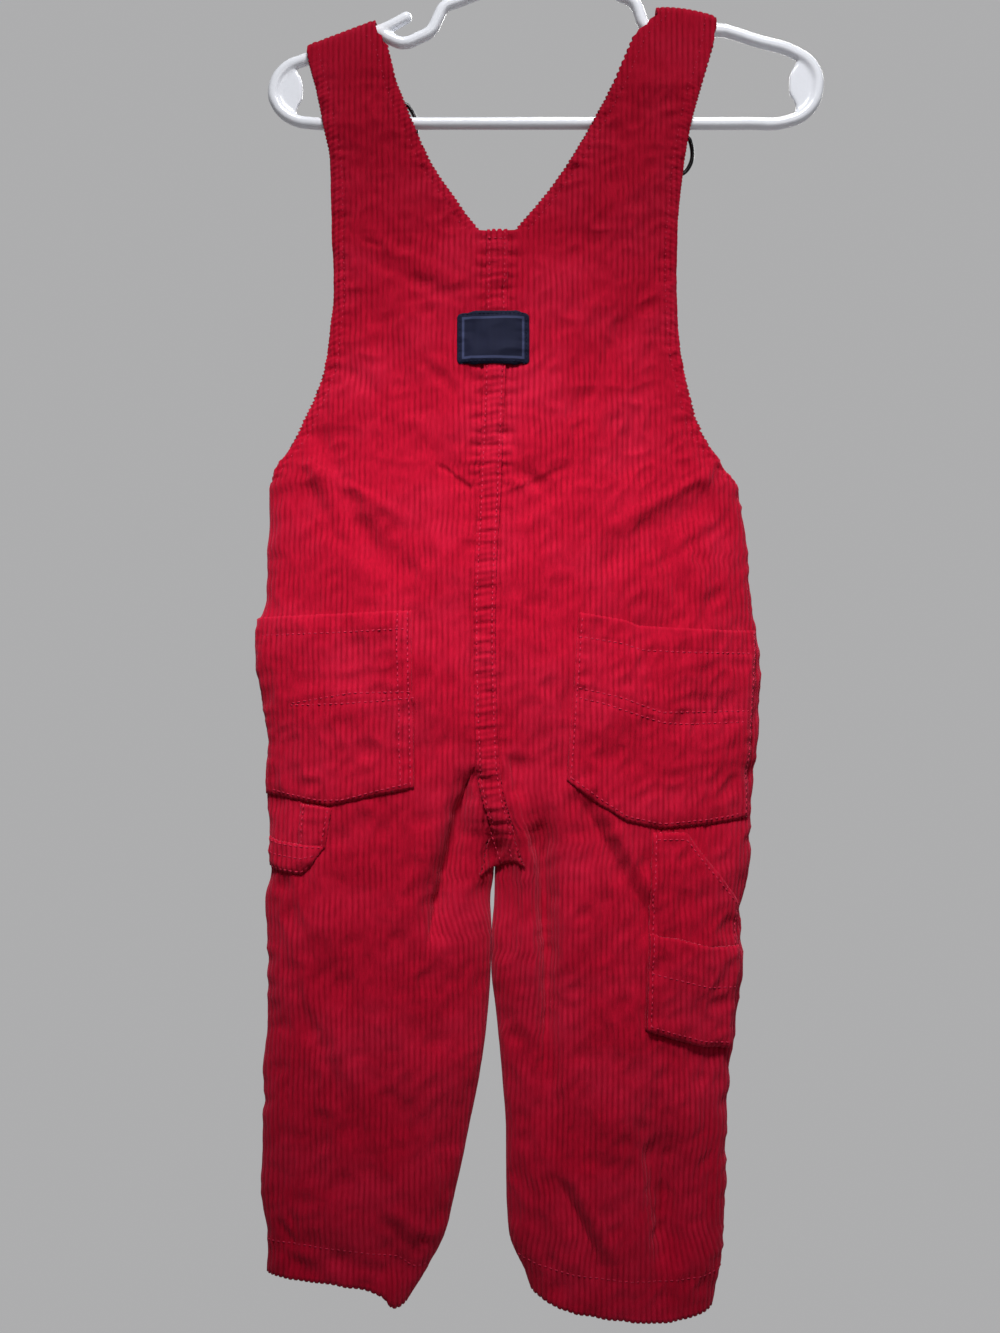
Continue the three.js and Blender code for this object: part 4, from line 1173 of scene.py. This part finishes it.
def label_finish():
    """Closely woven navy patch with a plain lighter border line."""
    made = Finish("woven_navy", Specular_IOR_Level=0.12)
    place = made.place()
    x = made.node("ShaderNodeSeparateXYZ", {}, place)
    z = x.part(2)
    wide = (x - LABEL["x"] * MM).absolute()
    high = (z + LABEL["drop"] * MM).absolute()
    warp = 0.5 + 0.5 * (x * (2 * math.pi / 0.0006)).cosine()
    weft = 0.5 + 0.5 * (z * (2 * math.pi / 0.0005)).cosine()
    weave = warp * weft
    from_side = LABEL["width"] * MM / 2 - wide
    from_top = LABEL["height"] * MM / 2 - high
    inset = from_side.lesser(from_top)
    line = (inset - 0.0032).absolute().below(0.0006)
    cloth = made.blend(weave, (0.004, 0.005, 0.015, 1), (0.012, 0.015, 0.042, 1))
    made.set(
        Base_Color=made.blend(line * 0.55, cloth, (0.05, 0.06, 0.13, 1)),
        Roughness=0.75 + 0.15 * weave,
        Normal=made.bump(weave, 0.00015, 0.6),
    )
    return made.material


def plastic_finish():
    """White glossy moulded plastic with a faint orange peel and handling marks."""
    made = Finish("white_plastic", Specular_IOR_Level=0.5, IOR=1.49, Coat_Roughness=0.12)
    place = made.place()
    marks = made.noise(made.stretched(place, (1, 1, 2.4)), 130, 5.0, 0.65)
    peel = made.noise(place, 420, 1.0)
    scuffs = ((marks - 0.56) * 5).clamped()
    made.set(
        Base_Color=made.blend(scuffs * 0.3, (0.85, 0.87, 0.93, 1), (0.74, 0.75, 0.8, 1)),
        Roughness=0.17 + 0.2 * scuffs,
        Coat_Weight=0.3 - 0.2 * scuffs,
        Normal=made.bump(peel + scuffs * 0.3, 0.0002, 0.25),
    )
    return made.material


def metal_finish():
    """Dark nickel: shiny, with fine scratches and duller worn places."""
    made = Finish("dark_nickel")
    place = made.place()
    wear = made.noise(place, 420, 4.0, 0.6)
    scratch = made.noise(made.stretched(place, (500, 500, 6000)), 1, 2.0)
    worn = ((wear - 0.5) * 4).clamped()
    made.set(
        Base_Color=made.blend(worn * 0.6, (0.035, 0.034, 0.036, 1), (0.1, 0.096, 0.092, 1)),
        Metallic=1.0,
        Roughness=0.16 + 0.16 * worn + 0.1 * scratch,
        Normal=made.bump(scratch, 0.00005, 0.3),
    )
    return made.material


RED = corduroy_finish(
    "crimson_corduroy",
    crest=(0.345, 0.0018, 0.018, 1),
    # Painted shade: the colour of the valleys between the wales.
    painted_valley_shade=(0.2, 0.0003, 0.0078, 1),
    # Painted highlight: the colour of the lit patches on the crests.
    painted_highlight=(0.55, 0.016, 0.055, 1),
    back=(0.22, 0.003, 0.013, 1),
)
THREAD = thread_finish()
NAVY = label_finish()
PLASTIC = plastic_finish()
NICKEL = metal_finish()


def dress(piece, material, slot, *nodes):
    """A finished piece takes its material and is attached to the root, and the CAD nodes it
    stands for are hidden; the slot is not used.
    """
    piece.data.materials.clear()
    piece.data.materials.append(material)
    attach(piece, "root")
    if nodes:
        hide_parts(*nodes)
    return piece


# Hard parts


def tube(name, points, radius, closed, smoothness=10):
    """Round rod along a smooth line through points, in millimetres."""
    line = bpy.data.curves.new(name, "CURVE")
    line.dimensions = "3D"
    line.bevel_depth = radius * MM
    line.bevel_resolution = 4
    line.resolution_u = smoothness
    line.use_fill_caps = True
    spline = line.splines.new("BEZIER")
    spline.bezier_points.add(len(points) - 1)
    for knot, place in zip(spline.bezier_points, points):
        knot.co = Vector(place) * MM
        knot.handle_left_type = knot.handle_right_type = "AUTO"
    spline.use_cyclic_u = closed
    piece = bpy.data.objects.new(name, line)
    bpy.context.collection.objects.link(piece)
    choose(piece)
    bpy.ops.object.convert(target="MESH")
    return bpy.context.object


def choose(*pieces):
    bpy.ops.object.select_all(action="DESELECT")
    for piece in pieces:
        piece.select_set(True)
    bpy.context.view_layer.objects.active = pieces[0]


def at(x, drop, y=0):
    return (x, y, -drop)


HANGER_FRAME = (
    (-105, 142), (-60, 142), (0, 142), (60, 142), (105, 142), (124, 141.4), (136, 135.5),
    (141.2, 124), (139, 113), (130, 105.5), (108, 98.6), (97, 95), (89, 93.4), (83, 96.6),
    (76, 99.6), (68, 100.6), (60, 98.2), (54, 94.4), (50.2, 89.4), (48.4, 84), (46, 79.4),
    (40, 76), (20, 68.6), (7, 64), (-7, 64), (-24, 70.4), (-46, 78.6), (-53, 81.6),
    (-56.4, 87.6), (-60, 94), (-66, 97.4), (-74, 100.2), (-81, 98), (-88, 94.6),
    (-100, 98.6), (-124, 108.4), (-136, 114), (-141.4, 124), (-140, 132), (-132, 139.6),
    (-120, 142),
)
PRONGS = (
    ((-92, 96), (-82, 92), (-72.6, 87)),
    ((92, 94.4), (83, 91.2), (74, 88.4)),
)
WEB_THICK = 2.4


def web(side):
    """Flat web that fills one end of the hanger, with a wavy inner edge."""
    high = 113 if side < 0 else 110
    edge = [(139, 132), (139, high + 8), (131, high - 1), (129.4, high + 2), (127.4, high + 5)]
    edge += [(126.4, high + 9), (126.2, high + 13), (126.8, high + 17), (128.8, high + 20)]
    edge += [(130, high + 23), (129.6, high + 26), (127, 141), (131, 140.6)]
    bpy.ops.object.select_all(action="DESELECT")
    mesh = bpy.data.meshes.new("web")
    points = [Vector(at(side * x, drop, -WEB_THICK / 2)) * MM for x, drop in edge]
    mesh.from_pydata(points, [], [tuple(range(len(points)))])
    piece = bpy.data.objects.new("web", mesh)
    bpy.context.collection.objects.link(piece)
    choose(piece)
    bpy.ops.object.mode_set(mode="EDIT")
    bpy.ops.mesh.select_all(action="SELECT")
    move = {"value": (0, WEB_THICK * MM, 0)}
    bpy.ops.mesh.extrude_region_move(TRANSFORM_OT_translate=move)
    bpy.ops.mesh.select_all(action="SELECT")
    bpy.ops.mesh.normals_make_consistent(inside=False)
    bpy.ops.object.mode_set(mode="OBJECT")
    return piece


def knob(place, radius):
    """Rounded end of a rod."""
    size = {"segments": 24, "ring_count": 12, "radius": radius * MM}
    bpy.ops.mesh.primitive_uv_sphere_add(location=Vector(at(*place)) * MM, **size)
    piece = bpy.context.object
    bpy.ops.object.transform_apply(location=True)
    return piece


def hanger():
    """Bar, arms, notches, webs, neck and hook, moulded in one."""
    parts = [tube("hanger_frame", [at(*p) for p in HANGER_FRAME], TUBE_RADIUS, True)]
    for prong in PRONGS:
        parts.append(tube("prong", [at(*p) for p in prong], TUBE_RADIUS - 0.1, False))
        parts.append(knob(prong[-1], TUBE_RADIUS - 0.1))
    hook = [at(0, 66), at(0, 54), at(0.6, 46)]
    for k in range(13):
        turn = -1.15 + (k / 12) * 4.5
        drop = HOOK_RADIUS - TUBE_RADIUS - HOOK_RADIUS * math.sin(turn)
        hook.append(at(HOOK_RADIUS * math.cos(turn), drop))
    parts.append(tube("hook", hook, TUBE_RADIUS, False))
    parts.append(knob((hook[-1][0], -hook[-1][2]), TUBE_RADIUS))
    parts += [web(-1), web(1)]
    choose(*parts)
    bpy.ops.object.join()
    piece = bpy.context.object
    piece.name = piece.data.name = "hanger_moulding"
    remesh = piece.modifiers.new("one_body", "REMESH")
    remesh.mode = "VOXEL"
    remesh.voxel_size = 0.0009
    remesh.use_smooth_shade = True
    bpy.ops.object.modifier_apply(modifier="one_body")
    soften = piece.modifiers.new("soften", "SMOOTH")
    soften.factor = 0.5
    soften.iterations = 6
    bpy.ops.object.modifier_apply(modifier="soften")
    return piece


BUCKLE_HALF = 21.4
BUCKLE_FRAME = 17
BUCKLE_LENGTH = 36


def buckle(name, over):
    """Bent wire: a bar for the strap, two shoulders and a waist for the button."""
    middle, across, down = buckle_place(over)
    half, frame_high = BUCKLE_HALF, BUCKLE_FRAME
    outline = (
        (-half + 2, 0), (0, 0), (half - 2, 0), (half, 2), (half, frame_high),
        (half - 9, frame_high + 5), (4, frame_high + 8), (5.6, BUTTON_DOWN),
        (0, BUCKLE_LENGTH), (-5.6, BUTTON_DOWN), (-4, frame_high + 8),
        (-half + 9, frame_high + 5), (-half, frame_high), (-half, 2),
    )
    points = [middle + across * x + down * d for x, d in outline]
    piece = tube(name, points, WIRE_RADIUS, True, 12)
    piece.data.shade_smooth()
    return piece


def bib_button(name, over):
    """Tack button: a stem, a wide head with a rolled rim and a sunk middle."""
    place = button_place(over)
    foot = place[1] - WIRE_RADIUS - 0.3
    centre = Vector((place[0], 0, place[2])) * MM
    bpy.ops.object.select_all(action="DESELECT")
    profile = ((0, 0), (2.6, 0), (2.6, 2.9), (7.4, 3), (8, 3.5), (8, 4.3), (7.4, 5.1),
               (6.4, 5.3), (5.8, 4.9), (4.8, 4.8), (3, 5.5), (0, 5.9))
    mesh = bpy.data.meshes.new(name)
    points = [Vector((r * MM, (foot + y) * MM, 0)) + centre for r, y in profile]
    mesh.from_pydata(points, [(k, k + 1) for k in range(len(points) - 1)], [])
    piece = bpy.data.objects.new(name, mesh)
    bpy.context.collection.objects.link(piece)
    choose(piece)
    bpy.ops.object.mode_set(mode="EDIT")
    bpy.ops.mesh.select_all(action="SELECT")
    bpy.ops.mesh.spin(steps=40, angle=2 * math.pi, center=centre, axis=(0, 1, 0))
    bpy.ops.mesh.select_all(action="SELECT")
    bpy.ops.mesh.remove_doubles(threshold=0.00001)
    bpy.ops.mesh.normals_make_consistent(inside=False)
    bpy.ops.object.mode_set(mode="OBJECT")
    bpy.ops.object.shade_smooth_by_angle(angle=0.7)
    return piece


# Make everything

dress(hanger(), PLASTIC, "hanger_plastic", "hanger")
for side, word in ((-1, "left"), (1, "right")):
    wire = buckle(f"slide_buckle_{word}", OVER[side])
    dress(wire, NICKEL, "dark_metal", f"buckle_{word}")
    tack = bib_button(f"tack_button_{word}", OVER[side])
    dress(tack, NICKEL, "dark_metal", f"bib_button_{word}")

panels = {
    "back_left": (back_panel(-1), WALL, (0.175, 0.72)),
    "back_right": (back_panel(1), WALL, (0.175, 0.74)),
    "front_left": (front_panel(-1), WALL, (0.175, 0.45)),
    "front_right": (front_panel(1), WALL, (0.175, 0.46)),
    "bib": (bib_panel(), WALL, (0.28, 0.19)),
    "center_back_fell": (fell_panel(), BAND_WALL, (0.022, 0.335)),
    "back_pocket_left": (laid(POCKET_LEFT, 66, ON_CLOTH, -90), POCKET_WALL, (0.09, 0.102)),
    "back_pocket_right": (laid(POCKET_RIGHT, 70, ON_CLOTH, 36), POCKET_WALL, (0.105, 0.11)),
    "tool_pocket": (laid(TOOL_POCKET, 60, ON_CLOTH, 36), POCKET_WALL, (0.052, 0.114)),
    "tool_pocket_patch": (laid(TOOL_PATCH, 34, ON_POCKET, 36), POCKET_WALL, (0.05, 0.061)),
}
POCKET_SEAMS_LEFT = (
    ((-146.5, 408.4), (-110, 407.2), (-69.6, 405.2)),
    ((-130, 443), (-99, 437.6), (-66.5, 436.9)),
    ((-131, 444), (-103, 442.9), (-82.8, 441.4), (-66.5, 439.9)),
    ((-141, 487.4), (-116, 492), (-104, 491.6), (-84, 486.4), (-69.4, 483)),
)
POCKET_SEAMS_RIGHT = (
    ((15.2, 409), (38, 412.6), (48, 416), (68, 417), (105, 417.6)),
    ((15.3, 434.8), (37.5, 439.9), (57.6, 447.4), (68.2, 447.4), (105.6, 446.9)),
    ((15.3, 439.9), (26.9, 442.4), (57.6, 452.4), (68.7, 453.4), (106, 452.4)),
    ((11.8, 480), (27, 491), (40, 499.6), (58, 503.8), (83, 501.8), (100, 499.4)),
)
panels["back_pocket_left"][0].lines_sewn = POCKET_SEAMS_LEFT
panels["back_pocket_right"][0].lines_sewn = POCKET_SEAMS_RIGHT
for name, (panel, wall, flat) in panels.items():
    piece = corduroy(f"{name}_cord", panel, wall, WALE_DEPTH if wall == WALL else PRESSED_DEPTH)
    dress(piece, RED, "corduroy", name)
    panel.area()

loop_drop = laid(LOOP_DROP, 18, ON_CLOTH, -90)
loop_band = laid(LOOP_BAND, 14, ON_CLOTH + 0.2, -90)
drop_piece = corduroy("loop_drop", loop_drop, POCKET_WALL)
band_piece = corduroy("loop_band", loop_band, POCKET_WALL)
choose(drop_piece, band_piece)
bpy.ops.object.join()
hammer_loop = bpy.context.object
hammer_loop.name = hammer_loop.data.name = "hammer_loop_cord"
dress(hammer_loop, RED, "corduroy", "hammer_loop")
loop_drop.area() + loop_band.area()

patch = label_panel()
label = corduroy("navy_patch", patch, BAND_WALL, 0)
dress(label, NAVY, "patch", "label_patch")
patch.area()

seams, edge_seams = [], []
for side, word in ((-1, "left"), (1, "right")):
    back, front = panels[f"back_{word}"][0], panels[f"front_{word}"][0]
    edge_seams.append(back.line(EDGE_ROW, back.strap_start, None, 1))
    edge_seams.append(back.line(EDGE_ROW, back.armhole_start, None, 0))
    for panel in (back, front):
        hem = int(np.argmin(np.abs(-panel.points[:, 48, 2] - (LEVEL[side] - HEM_ROW))))
        seams.append(panel.across(hem, 2))
bib = panels["bib"][0]
seams += [bib.line(EDGE_ROW, 4, None, end) for end in (0, 1)]
seams += [bib.across(-5, 4), bib.across(2, 3)]
fell = panels["center_back_fell"][0]
seams += [fell.line(FELL_ROW, 13, None, end) for end in (0, 1)] + [fell.across(-5)]
BAND_END = LAID_GAP + BAND_WALL + 0.4
seams.append(on_back(((-28.6, 508), (-26.6, 515), (-24.6, 521), (-23.4, 525)), BAND_END))
seams.append(on_back(((-21, 508), (-19.4, 515), (-18.4, 520), (-17.8, 523)), BAND_END))
for line in POCKET_SEAMS_LEFT + POCKET_SEAMS_RIGHT:
    seams.append(on_back(line, ON_CLOTH))
for name, ends in (("back_pocket_left", (1,)), ("back_pocket_right", (0, 1))):
    for end in ends:
        seams.append(panels[name][0].line(LAID_ROW, 1, None, end))
seams.append(panels["back_pocket_left"][0].line(7, 1, None, 1))
tool, tool_patch = panels["tool_pocket"][0], panels["tool_pocket_patch"][0]
seams += [tool.line(LAID_ROW, 2, None, end) for end in (0, 1)] + [tool.across(-3, LAID_ROW)]
seams.append(tool_patch.line(LAID_ROW, 1, None, 0))
seams += [tool_patch.across(row, 1) for row in (-14, 2)]
seams += [loop_drop.line(LAID_ROW, 0, None, end) for end in (0, 1)]
seams += [loop_band.across(row, 1) for row in (7, 1, -2)]
dress(stitches("seam_stitches", seams), THREAD, "corduroy")
edge_thread = {"long": 1.3, "gap": 1.6, "thick": 0.26, "proud": -0.02}
dress(stitches("edge_stitches", edge_seams, **edge_thread), THREAD, "corduroy")
border = [patch.line(1.5, 1, -1, end) for end in (0, 1)]
border += [patch.across(row, 1.5) for row in (2, -3)]
dress(stitches("patch_stitches", border, 1.6, 0.6, 0.25), NAVY, "patch")


# Studio


def plain(name, colour, roughness):
    made_plain = Finish(name, Specular_IOR_Level=0.2)
    speck = made_plain.noise(made_plain.place(), 14, 3.0)
    shade = tuple(c * 0.96 for c in colour[:3]) + (1,)
    made_plain.set(Base_Color=made_plain.blend(speck, colour, shade), Roughness=roughness)
    return made_plain.material


bpy.ops.object.select_all(action="DESELECT")
FLOOR_PLACE = (0, 0, -1.25)
bpy.ops.mesh.primitive_circle_add(vertices=96, radius=0.8, fill_type="NGON", location=FLOOR_PLACE)
floor = bpy.context.object
floor.name = "studio_floor"
floor.data.materials.append(plain("pale_floor", (0.62, 0.62, 0.63, 1), 0.8))

world = bpy.data.worlds.new("studio")
bpy.context.scene.world = world
world.use_nodes = True
sky = world.node_tree.nodes
across = sky.new("ShaderNodeTexCoord")
parts = sky.new("ShaderNodeSeparateXYZ")
ramp = sky.new("ShaderNodeValToRGB")
ramp.color_ramp.elements[0].position, ramp.color_ramp.elements[1].position = 0.0, 0.6
ramp.color_ramp.elements[0].color = (0.105, 0.105, 0.108, 1)
ramp.color_ramp.elements[1].color = (0.42, 0.42, 0.425, 1)
world.node_tree.links.new(across.outputs["Generated"], parts.inputs[0])
world.node_tree.links.new(parts.outputs["Y"], ramp.inputs[0])
world.node_tree.links.new(ramp.outputs[0], sky["Background"].inputs["Color"])


def hang_lamp(name, light, place, aim):
    """Put a light in the studio, turned towards a point."""
    lamp = bpy.data.objects.new(name, light)
    bpy.context.collection.objects.link(lamp)
    lamp.location = place
    lamp.rotation_euler = (Vector(aim) - Vector(place)).to_track_quat("-Z", "Y").to_euler()
    return lamp


def softbox(name, place, aim, wide, high, watts):
    light = bpy.data.lights.new(name, "AREA")
    light.shape = "RECTANGLE"
    light.size, light.size_y, light.energy = wide, high, watts
    hang_lamp(name, light, place, aim)


key = bpy.data.lights.new("key_above", "SPOT")
key.energy, key.spot_size, key.spot_blend, key.shadow_soft_size = 29, 0.56, 1.0, 0.08
key_lamp = hang_lamp("key_above", key, (-0.09, -0.5, 0.1), (-0.02, 0, -0.44))
key_lamp.scale = (1.8, 1, 1)
softbox("fill_front", (0.3, -1.0, -0.1), (0, 0, -0.25), 0.5, 0.5, 1.4)
softbox("fill_top", (0.1, -0.7, 0.7), (0, 0, -0.02), 0.5, 0.4, 12.5)
softbox("back_soft", (0.3, 0.9, 0.45), (0, 0, -0.35), 0.6, 0.6, 9)

camera = bpy.data.objects.new("camera", bpy.data.cameras.new("camera"))
bpy.context.collection.objects.link(camera)
camera.location = (-0.0239, -0.650, -0.4243)
camera.rotation_euler = (math.pi / 2, 0, 0)
camera.data.sensor_width = 36
camera.data.lens = 33.76
bpy.context.scene.camera = camera
bpy.context.scene.view_settings.view_transform = "Standard"
